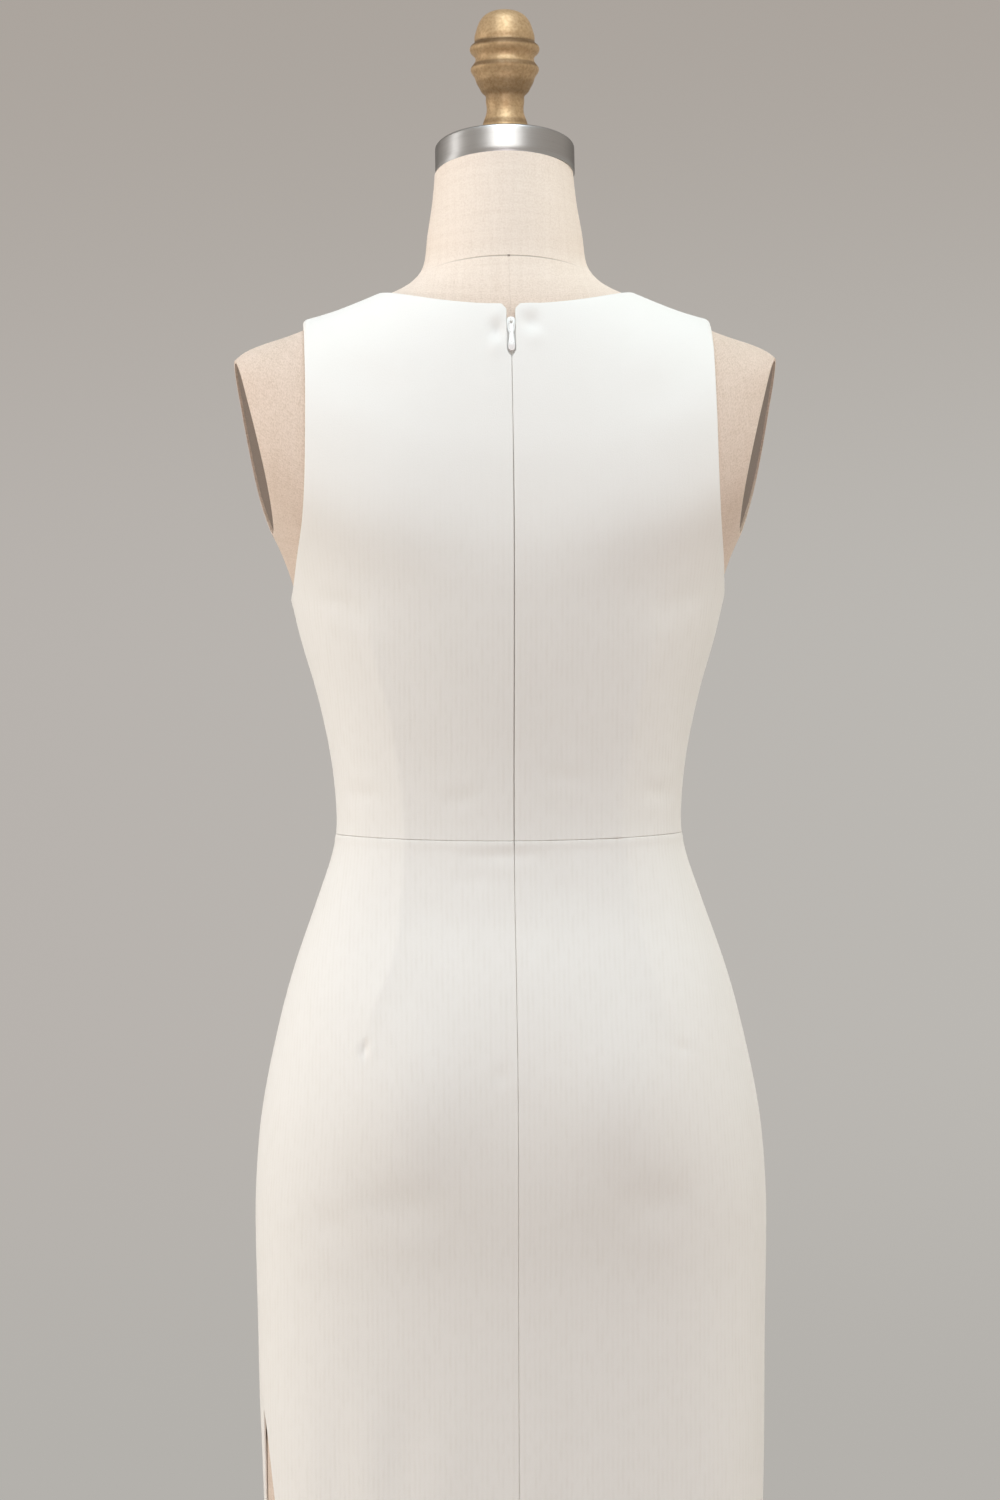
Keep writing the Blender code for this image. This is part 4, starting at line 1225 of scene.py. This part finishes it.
capProfile += [(capRadius - capRound + capRound * math.sin(a), capHeight - capRound + capRound * math.cos(a))
               for a in np.linspace(0.0, math.pi / 2, 7)]
capProfile += [(capRadius, capHeight * share) for share in (0.75, 0.5, 0.25)]
capProfile += [(capRadius - inwards, height) for inwards, height in neck["capFoot"]] + [(0.0, 0.0)]
capPlace = Matrix.Translation(neck["cut"] + lean @ Vector((0, 0, neck["gap"]))) @ lean
capObject = turnedObject("neck_cap_steel", capProfile, neck["capSegments"], steelMaterial, capPlace)

seat = neck["cut"] + lean @ Vector((0, 0, capHeight + 2 * neck["gap"]))
finialProfile = [(max(radius, 0.0), height - (seat.z - body["waist"]))
                 for radius, height in refined(neck["finial"], neck["finialPoints"])]
finialProfile[0] = (0.0, finialProfile[0][1])
finialProfile.append((0.0, finialProfile[-1][1]))
finialPlace = Matrix.Translation(seat + Vector((neck["finialShift"], 0, 0)))
finialPlace = finialPlace @ Matrix.Rotation(neck["finialTilt"], 4, "X")
finialObject = turnedObject("neck_finial_wood", finialProfile, neck["finialSegments"], giltMaterial,
                            finialPlace, (seat, lean @ Vector((0, 0, -1))))

stand = {
    "poleRadius": 0.0125,
    "poleRound": 0.0008,
    # distance of the pole's first and last ring from its ends, and the number of rings
    "poleRings": (0.02, 12),
    "poleSegments": 64,
    "gap": 0.0003,
    "hub": 0.050,
    "baseSegments": 128,
    "base": (
        (0.0000, 0.0500), (0.0190, 0.0500), (0.0203, 0.0498), (0.0211, 0.0493), (0.0215, 0.0485),
        (0.0219, 0.0420), (0.0225, 0.0330), (0.0238, 0.0285), (0.0265, 0.0248), (0.0300, 0.0225),
        (0.0400, 0.0192), (0.0550, 0.0165), (0.0850, 0.0140), (0.1200, 0.0115), (0.1360, 0.0103),
        (0.1440, 0.0095), (0.1470, 0.0084), (0.1490, 0.0070), (0.1500, 0.0046), (0.1500, 0.0030),
        (0.1494, 0.0008), (0.1486, 0.0000), (0.0000, 0.0000),
    ),
}
baseObject = turnedObject("stand_base_iron", stand["base"], stand["baseSegments"], ironMaterial)
poleLow = stand["hub"] + stand["gap"]
poleHigh = body["waist"] - body["formDrop"] - stand["gap"]
pole, poleRound = stand["poleRadius"], stand["poleRound"]
margin, ringCount = stand["poleRings"]
poleProfile = [(0.0, poleHigh), (pole - poleRound, poleHigh), (pole, poleHigh - poleRound)]
poleProfile += [(pole, height) for height in np.linspace(poleHigh - margin, poleLow + margin, ringCount)]
poleProfile += [(pole, poleLow + poleRound), (pole - poleRound, poleLow), (0.0, poleLow)]
poleObject = turnedObject("stand_pole_steel", poleProfile, stand["poleSegments"], steelMaterial)
print("turned pieces made")

# the form, and the ends of its shoulders
torso = {"columns": 160, "rowSteps": (0.0045, 0.0036, 0.0060), "sharp": 32}
arm = {
    "height": body["waist"] + 0.275,
    # side, distance from the middle, turn to the back and lean
    "ends": (("left", 1, 0.1792, math.radians(4.0), math.radians(12.0)),
             ("right", -1, 0.1792, math.radians(8.8), math.radians(11.3))),
    # how far the shoulder's end runs out past its section, and the stretches over which it does
    "reach": 0.0062,
    "reachAcross": (0.150, 0.182),
    "reachUp": (0.300, 0.328),
    "rim": 0.0020,
    "recess": 0.0047,
    "gap": 0.0006,
    # share of the outline, distance in from it and height, for each ring of the disc
    "discRings": ((1.0, 0.0, 0.0003), (1.0, 0.0, 0.0022), (1.0, 0.0003, 0.0028), (1.0, 0.0009, 0.0031),
                  (0.97, 0.0009, 0.0033), (0.8, 0.0, 0.0039), (0.6, 0.0, 0.0044), (0.3, 0.0, 0.0047),
                  (0.02, 0.0, 0.0048)),
    "discSharp": 50,
}


def armNormal(side, yaw, lean):
    return Vector((side * math.cos(yaw) * math.cos(lean), math.sin(yaw) * math.cos(lean), -math.sin(lean)))


torsoPlaces = zip((0.0, neckline, underarm, formBottom), (*torso["rowSteps"], 1.0))
torsoDowns = spaced([(place, (0.0,), step) for place, step in torsoPlaces])
columns = torso["columns"]
turns = np.arange(columns) * 2 * math.pi / columns
torsoPoints = bodyPoint(turns[None, :], torsoDowns[:, None])
reach = arm["reach"] * smooth(*arm["reachAcross"], np.abs(torsoPoints[..., 0]))
reach = reach * smooth(*arm["reachUp"], torsoPoints[..., 2] - body["waist"])
torsoPoints[..., 0] += np.sign(torsoPoints[..., 0]) * reach
bm = bmesh.new()
layer = bm.loops.layers.uv.new("grain")
rings = [[bm.verts.new(point) for point in row] for row in torsoPoints]
girth = lengths(np.concatenate((torsoPoints, torsoPoints[:, :1]), axis=1), 1)
for row in range(len(rings) - 1):
    for step in range(columns):
        corners = ((row, step), (row, step + 1), (row + 1, step + 1), (row + 1, step))
        face = bm.faces.new([rings[r][c % columns] for r, c in corners])
        for loop, (r, c) in zip(face.loops, corners):
            loop[layer].uv = (girth[r, c] - girth[r, columns // 4], torsoDowns[r])
bm.faces.new(rings[0])
bm.faces.new(rings[-1])
bmesh.ops.recalc_face_normals(bm, faces=bm.faces)
cutFlat(bm, neck["cut"], Vector((0, -math.sin(neck["tilt"]), math.cos(neck["tilt"]))))
discs = []
for word, side, across, yaw, armLean in arm["ends"]:
    normal = armNormal(side, yaw, armLean)
    centre = Vector((side * across, 0.0, arm["height"]))
    end = cutFlat(bm, centre, normal, body["waist"] + body["underarm"])
    bmesh.ops.inset_region(bm, faces=[end], thickness=arm["rim"], use_even_offset=True)
    moved = bmesh.ops.extrude_face_region(bm, geom=[end])["geom"]
    recess = next(thing for thing in moved if isinstance(thing, bmesh.types.BMFace))
    bmesh.ops.delete(bm, geom=[end], context="FACES_ONLY")
    bmesh.ops.translate(bm, vec=-normal * arm["recess"], verts=recess.verts)
    discs.append((word, [vert.co.copy() for vert in recess.verts], normal))
torsoObject = finished("form_torso_linen", meshFrom("form_torso_linen", bm), linenMaterial, torso["sharp"])


def armDisc(name, outline, normal):
    # a disc of cloth that fills the recess in a shoulder's end
    middle = sum(outline, Vector()) / len(outline)
    bm = bmesh.new()
    rings = []
    for share, inwards, height in arm["discRings"]:
        ring = []
        for point in outline:
            reach = point - middle
            scale = share * (1 - (arm["gap"] + inwards) / reach.length)
            ring.append(bm.verts.new(middle + reach * scale + normal * height))
        rings.append(ring)
    for upper, lower in zip(rings, rings[1:]):
        for step in range(len(upper)):
            after = (step + 1) % len(upper)
            bm.faces.new((upper[step], upper[after], lower[after], lower[step]))
    bm.faces.new(rings[0])
    bm.faces.new(rings[-1])
    bmesh.ops.recalc_face_normals(bm, faces=bm.faces)
    return finished(name, meshFrom(name, bm), armShadedMaterial, arm["discSharp"])


plateObjects = {}
for word, outline, normal in discs:
    plateObjects[word] = armDisc("arm_plate_" + word + "_cloth", outline, normal)
print("form made")

# the zip
zipper = {
    "top": 0.3600,
    "bottom": -0.2650,
    "halfWidth": 0.010,
    "inner": 0.0010,
    "outer": 0.0015,
    "closed": 0.0001,
    "parted": 0.0034,
    "partTop": 0.3575,
    "partEnd": 0.3490,
    "columns": 7,
    # the height down to which the tape has fine rows, and the largest steps above and below it
    "fineDown": 0.34,
    "rowSteps": (0.0008, 0.004),
    # the coil's top, its distance from the tape's foot, and its height over the body line
    "chainTop": 0.3500,
    "chainEnd": 0.004,
    "chainLift": 0.00185,
    "chainStep": 0.003,
    # one turn of the coil: across, along and thick, its rounding, and the step to the next
    "turnSize": (0.0046, 0.00042, 0.00050),
    "turnRound": 0.00014,
    "turnPitch": 0.0009,
}
tapePlaces = zip((zipper["top"], zipper["fineDown"], zipper["bottom"]), (*zipper["rowSteps"], 1.0))
tapeDowns = spaced([(findDown(height, 1.0), (0.0,), step) for height, step in tapePlaces])
tapeHeights = bodyPoint(centreBack, tapeDowns)[:, 2] - body["waist"]
tapeRate = ringRate(centreBack, tapeDowns)
parted = zipper["closed"] + zipper["parted"] * smooth(zipper["partEnd"], zipper["partTop"], tapeHeights)
tapeParts = []
for side in (1, -1):
    near = centreBack - side * parted / tapeRate
    far = centreBack - side * zipper["halfWidth"] / tapeRate
    share = np.linspace(0.0, 1.0, zipper["columns"])
    angles = near[:, None] + (far - near)[:, None] * share
    surface = bodyPoint(angles, tapeDowns[:, None])
    normal = bodyNormal(angles, tapeDowns[:, None])
    grain = np.stack((lengths(surface, 1), surface[..., 2]), axis=-1)
    outer = surface + normal * zipper["outer"]
    inner = surface + normal * zipper["inner"]
    middle = (outer + inner) / 2
    for rim in (np.s_[0], np.s_[-1], np.s_[:, 0], np.s_[:, -1]):
        outer[rim] = middle[rim]
    tapeParts.append(shellObject("zip_tape_part", outer, inner, grain, tapeMaterial))


def joined(name, things, material):
    # one mesh of all the things, which are then gone
    bm = bmesh.new()
    for thing in things:
        bm.from_mesh(thing.data)
    for face in bm.faces:
        face.material_index = 0
    for thing in things:
        bpy.data.objects.remove(thing, do_unlink=True)
    return finished(name, meshFrom(name, bm), material)


def coilTurn():
    # one turn of the coil, across the chain
    bm = bmesh.new()
    bmesh.ops.create_cube(bm, size=1.0)
    bmesh.ops.scale(bm, vec=zipper["turnSize"], verts=bm.verts)
    bmesh.ops.bevel(bm, geom=bm.edges[:], offset=zipper["turnRound"], segments=2, affect="EDGES", profile=0.5)
    mesh = meshFrom("coil_turn", bm)
    mesh.materials.append(tapeMaterial)
    return bpy.data.objects.new("coil_turn", mesh)


def pathRepeat():
    # a node group that sets a piece at even steps along a line of points
    group = bpy.data.node_groups.new("path_repeat", "GeometryNodeTree")
    sockets = {}
    for name, kind in (("Path", "NodeSocketGeometry"), ("Piece", "NodeSocketObject"),
                       ("Pitch", "NodeSocketFloat"), ("Finish", "NodeSocketMaterial")):
        sockets[name] = group.interface.new_socket(name=name, in_out="INPUT", socket_type=kind).identifier
    group.interface.new_socket(name="Result", in_out="OUTPUT", socket_type="NodeSocketGeometry")
    wire = Wire(group)
    entry = group.nodes.new("NodeGroupInput")
    given = {name: Wire(group, entry.outputs[name]) for name in sockets}
    curve = wire.add("GeometryNodeMeshToCurve", None, {"Mesh": given["Path"]})
    settings = {"mode": "LENGTH"}
    even = wire.add("GeometryNodeResampleCurve", settings, {"Curve": curve, "Length": given["Pitch"]})
    tangent = wire.add("GeometryNodeInputTangent")
    upright = wire.add("FunctionNodeAlignRotationToVector", {"axis": "Z"}, {"Vector": tangent})
    turnedTo = wire.add("FunctionNodeAlignRotationToVector", {"axis": "X", "pivot_axis": "Z"},
                        {"Rotation": upright, "Vector": (1.0, 0.0, 0.0)})
    piece = wire.add("GeometryNodeObjectInfo", None, {"Object": given["Piece"]}, "Geometry")
    copies = wire.add("GeometryNodeInstanceOnPoints", None,
                      {"Points": even, "Instance": piece, "Rotation": turnedTo})
    solid = wire.add("GeometryNodeRealizeInstances", None, {"Geometry": copies})
    finished = wire.add("GeometryNodeSetMaterial", None, {"Geometry": solid, "Material": given["Finish"]})
    end = group.nodes.new("NodeGroupOutput")
    group.links.new(finished.socket, end.inputs[0])
    return group, sockets


def repeatedAlong(name, points, piece, pitch, material):
    group, sockets = pathRepeat()
    mesh = bpy.data.meshes.new(name + "_path")
    mesh.from_pydata([tuple(point) for point in points], [(i, i + 1) for i in range(len(points) - 1)], [])
    host = placed(name + "_path", mesh)
    modifier = host.modifiers.new("repeat", "NODES")
    modifier.node_group = group
    modifier[sockets["Piece"]] = piece
    modifier[sockets["Pitch"]] = pitch
    modifier[sockets["Finish"]] = material
    evaluated = host.evaluated_get(bpy.context.evaluated_depsgraph_get())
    result = bpy.data.meshes.new_from_object(evaluated)
    for spent in (host, piece):
        bpy.data.objects.remove(spent, do_unlink=True)
    return placed(name, result)


chainDowns = spaced(((findDown(zipper["chainTop"], 1.0), (0.0,), zipper["chainStep"]),
                     (findDown(zipper["bottom"] + zipper["chainEnd"], 1.0), (0.0,), 1.0)))
chainLine = bodyPoint(centreBack, chainDowns) + bodyNormal(centreBack, chainDowns) * zipper["chainLift"]
chain = repeatedAlong("zip_chain", chainLine, coilTurn(), zipper["turnPitch"], tapeMaterial)
print("chain faces", len(chain.data.polygons))
tapeObject = joined("zip_tape_woven", tapeParts + [chain], tapeMaterial)

pullData = {
    "height": 0.3542,
    "offset": 0.00375,
    "length": 0.0233,
    # points of each outline, half thickness and rounding, for the plate and its dish's raised rim
    "plate": (40, 0.00045, 0.00016),
    "rim": (18, 0.00012, 0.00008),
    "rimLift": 0.00042,
    # the rim's inner outline: its shares across and along, and how far down it moves
    "rimInside": (0.70, 0.86, 0.0026),
    # half width and distance below the hinge
    "outline": ((0.0000, -0.00045), (0.0010, -0.00040), (0.0016, -0.0001), (0.0018, 0.0008), (0.0018, 0.0024),
                (0.0016, 0.0034), (0.0014, 0.0044), (0.00142, 0.0085), (0.0016, 0.0125), (0.0019, 0.0153),
                (0.0022, 0.0178), (0.0024, 0.0199), (0.0023, 0.0213), (0.0019, 0.0224), (0.0012, 0.0231),
                (0.0000, 0.0233)),
    "eye": ((0.0009, 0.0005), (0.00095, 0.0014), (0.0009, 0.0024), (0.0005, 0.0028), (0.0, 0.0029)),
    "dish": ((0.0000, 0.0148), (0.0008, 0.0160), (0.0013, 0.0182), (0.0014, 0.0200), (0.0010, 0.0214),
             (0.0000, 0.0220)),
}


def pullMatrix():
    # the curve's X is across, its Y up the back and its Z into the back
    ends = [bodyPoint(centreBack, findDown(pullData["height"] - drop, 1.0))
            for drop in (0.0, pullData["length"])]
    top, foot = (Vector(point) for point in ends)
    up = (top - foot).normalized()
    out = up.cross(Vector((1, 0, 0))).normalized()
    matrix = Matrix(((1, up.x, -out.x), (0, up.y, -out.y), (0, up.z, -out.z))).to_4x4()
    matrix.translation = top + out * pullData["offset"]
    return matrix, out


def plateObject(name, outlines, halfThickness, rounding, place, material):
    # a flat plate with holes and rounded edges, from closed outlines
    curve = bpy.data.curves.new(name, "CURVE")
    curve.dimensions = "2D"
    curve.fill_mode = "BOTH"
    curve.extrude = halfThickness - rounding
    curve.bevel_depth = rounding
    curve.bevel_resolution = 3
    curve.offset = -rounding
    for outline in outlines:
        spline = curve.splines.new("POLY")
        spline.points.add(len(outline) - 1)
        for point, (x, y) in zip(spline.points, outline):
            point.co = (x, y, 0.0, 1.0)
        spline.use_cyclic_u = True
    source = placed(name, curve)
    mesh = bpy.data.meshes.new_from_object(source.evaluated_get(bpy.context.evaluated_depsgraph_get()))
    bpy.data.objects.remove(source, do_unlink=True)
    mesh.transform(place)
    mesh.materials.clear()
    return finished(name, mesh, material, sharp=40)


def mirrored(pairs, count):
    # a closed outline from half widths and distances below the hinge
    curve = refined(pairs, count)
    right = [(max(x, 0.0), -y) for x, y in curve]
    left = [(-x, y) for x, y in reversed(right[1:-1])]
    return right + left


pullPlace, pullOut = pullMatrix()
eye = [(x, -y) for x, y in pullData["eye"]]
eyeHole = [(-x, y) for x, y in reversed(eye[:-1])] + eye
count, *thickness = pullData["plate"]
pullPlate = plateObject("pull_plate", (mirrored(pullData["outline"], count), eyeHole), *thickness,
                        pullPlace, enamelMaterial)
count, *thickness = pullData["rim"]
dishRing = mirrored(pullData["dish"], count)
acrossShare, alongShare, lower = pullData["rimInside"]
innerRing = [(x * acrossShare, y * alongShare - lower) for x, y in dishRing]
rimPlace = Matrix.Translation(pullOut * pullData["rimLift"]) @ pullPlace
pullRim = plateObject("pull_rim", (dishRing, innerRing), *thickness, rimPlace, enamelMaterial)
pullObject = joined("zip_pull_tab", [pullPlate, pullRim], enamelMaterial)

slider = {
    "offset": 0.00245,
    # half width and distance below the hinge
    "outline": ((0.0000, -0.0027), (0.0013, -0.0026), (0.0022, -0.0022), (0.0027, -0.0010), (0.0027, 0.0040),
                (0.0024, 0.0072), (0.0016, 0.0092), (0.0000, 0.0094)),
    "plate": (30, 0.00055, 0.0002),
    # the bridge over the hinge, seen from its side: outwards and up
    "bridge": ((-0.00115, 0.0018), (0.0012, 0.0018), (0.00150, 0.0015), (0.00155, 0.0010), (0.00155, -0.0010),
               (0.00150, -0.0015), (0.0012, -0.0018), (-0.00115, -0.0018), (-0.00115, -0.0010),
               (0.00075, -0.0010), (0.00075, 0.0010), (-0.00115, 0.0010)),
    "bridgePlate": (0.0006, 0.00015),
}
sliderPlace = Matrix.Translation(-pullOut * (pullData["offset"] - slider["offset"])) @ pullPlace
count, *thickness = slider["plate"]
sliderBody = plateObject("slider_body", (mirrored(slider["outline"], count),), *thickness, sliderPlace,
                         enamelMaterial)
sideways = Matrix(((0, 0, 1, 0), (0, 1, 0, 0), (-1, 0, 0, 0), (0, 0, 0, 1)))
bridgeObject = plateObject("slider_bridge", (slider["bridge"],), *slider["bridgePlate"], pullPlace @ sideways,
                           enamelMaterial)
sliderObject = joined("zip_slider_enamel", [sliderBody, bridgeObject], enamelMaterial)
print("zip made")

# what each piece stands for, and what it rides on
for node, panel in panels.items():
    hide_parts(node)
    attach(panel, rootBody)
for thing, node, slotName in (
    (tapeObject, "zip_tape", "zip_cloth"),
    (sliderObject, "zip_slider", "enamel"),
    (torsoObject, "form_torso", "linen"),
    (plateObjects["left"], "arm_plate_left", "arm_cloth"),
    (plateObjects["right"], "arm_plate_right", "arm_cloth"),
    (capObject, "neck_cap", "neck_steel"),
    (finialObject, "neck_finial", "gilt_wood"),
    (poleObject, "stand_pole", "pole_steel"),
    (baseObject, "stand_base", "black_iron"),
):
    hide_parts(node)
    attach(thing, rootBody)
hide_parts("zip_pull")
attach(pullObject, "pull_tab")

# floor, light and camera
bm = bmesh.new()
bmesh.ops.create_circle(bm, cap_ends=True, segments=floor["segments"], radius=floor["radius"])
floorObject = finished("floor", meshFrom("floor", bm), floorMaterial)

studio = {
    # the point that every light faces
    "target": Vector((0.0, 0.0, 1.10)),
    # name, place, size, watts, colour
    "lights": (
        ("top", (0.0, 1.0, 3.6), (1.8, 1.8), 44.5, (0.72, 0.87, 1.0)),
        ("left side", (2.9, 0.5, 1.5), (1.6, 1.6), 38.0, (1.0, 0.966, 0.915)),
        ("right side", (-2.9, 0.5, 1.5), (1.6, 1.6), 16.4, (1.0, 0.90, 0.90)),
        ("right above", (-2.0, 0.2, 3.2), (1.6, 1.6), 11.0, (0.82, 1.0, 0.86)),
        ("behind camera", (0.0, 3.6, 1.2), (1.6, 1.6), 17.8, (1.0, 0.89, 0.98)),
        ("left front", (2.4, -1.4, 2.0), (1.6, 1.6), 9.8, (0.80, 0.84, 1.0)),
        ("front", (-1.2, -3.0, 2.2), (2.2, 2.2), 34.0, (1.0, 0.98, 0.96)),
    ),
    # those that gloss shows too
    "glossy": ("top", "behind camera"),
    # lights that only gloss shows
    "cards": (
        ("card behind", (0.15, 2.9, 3.4), (3.0, 1.8), 30.0),
        ("card right", (-2.0, 0.2, 3.2), (1.6, 1.6), 10.0),
        ("card left", (2.9, -0.30, 1.9), (0.7, 3.0), 12.0),
    ),
    "wall": {"left": tone(182, 176, 171), "right": tone(187, 184, 179), "turn": 2.0,
             "low": tone(180, 177, 172), "lowFrom": (-0.06, -0.17),
             "high": tone(171, 164, 157), "highFrom": (0.02, 0.19)},
    "worldStrength": 1.0,
}


def addLight(name, place, size, power, colour):
    light = bpy.data.lights.new(name, "AREA")
    light.shape = "ELLIPSE"
    light.size, light.size_y = size
    light.energy = power
    light.color = colour
    lamp = placed(name, light)
    lamp.location = place
    lamp.rotation_euler = (studio["target"] - Vector(place)).to_track_quat("-Z", "Y").to_euler()
    return lamp


for name, place, size, power, colour in studio["lights"]:
    lamp = addLight(name, place, size, power, colour)
    lamp.visible_glossy = name in studio["glossy"]
for name, place, size, power in studio["cards"]:
    card = addLight(name, place, size, power, (1.0, 1.0, 1.0))
    card.visible_diffuse = False

bpy.context.scene.view_settings.view_transform = "Standard"
world = bpy.data.worlds.new("studio")
world.use_nodes = True
bpy.context.scene.world = world
background = world.node_tree.nodes["Background"]
w = Wire(world.node_tree)
x, _, z = w.split(w.add("ShaderNodeTexCoord", output="Generated"))
wall = studio["wall"]
wallTone = (0.5 - x * wall["turn"]).between(0.0, 1.0).mix(wall["left"], wall["right"])
wallTone = z.between(*wall["lowFrom"]).mix(wallTone, wall["low"])
wallTone = z.between(*wall["highFrom"]).mix(wallTone, wall["high"])
world.node_tree.links.new(wallTone.socket, background.inputs["Color"])
background.inputs["Strength"].default_value = studio["worldStrength"]

# the photograph's own view, with its scale
view = {
    "distance": 3.0,
    "height": body["waist"] + 0.059,
    "azimuth": math.radians(2.5),
    "roll": math.radians(0.34),
    "sideStep": 0.006,
    "metresPerPixel": 0.000707,
    "pixels": 1500,
    "sensor": 36.0,
}
look = Vector((-math.sin(view["azimuth"]), -math.cos(view["azimuth"]), 0.0))
right = Vector((-math.cos(view["azimuth"]), math.sin(view["azimuth"]), 0.0))
up = Vector((0.0, 0.0, 1.0))
rolledRight = right * math.cos(view["roll"]) - up * math.sin(view["roll"])
rolledUp = right * math.sin(view["roll"]) + up * math.cos(view["roll"])
camera = bpy.data.cameras.new("camera")
camera.sensor_width = view["sensor"]
camera.lens = view["sensor"] * view["distance"] / (view["metresPerPixel"] * view["pixels"])
cameraObject = placed("camera", camera)
eyePlace = -look * view["distance"] - right * view["sideStep"] + up * view["height"]
cameraObject.matrix_world = Matrix((
    (rolledRight.x, rolledUp.x, -look.x, eyePlace.x),
    (rolledRight.y, rolledUp.y, -look.y, eyePlace.y),
    (rolledRight.z, rolledUp.z, -look.z, eyePlace.z),
    (0.0, 0.0, 0.0, 1.0),
))
bpy.context.scene.camera = cameraObject
print("studio ready")
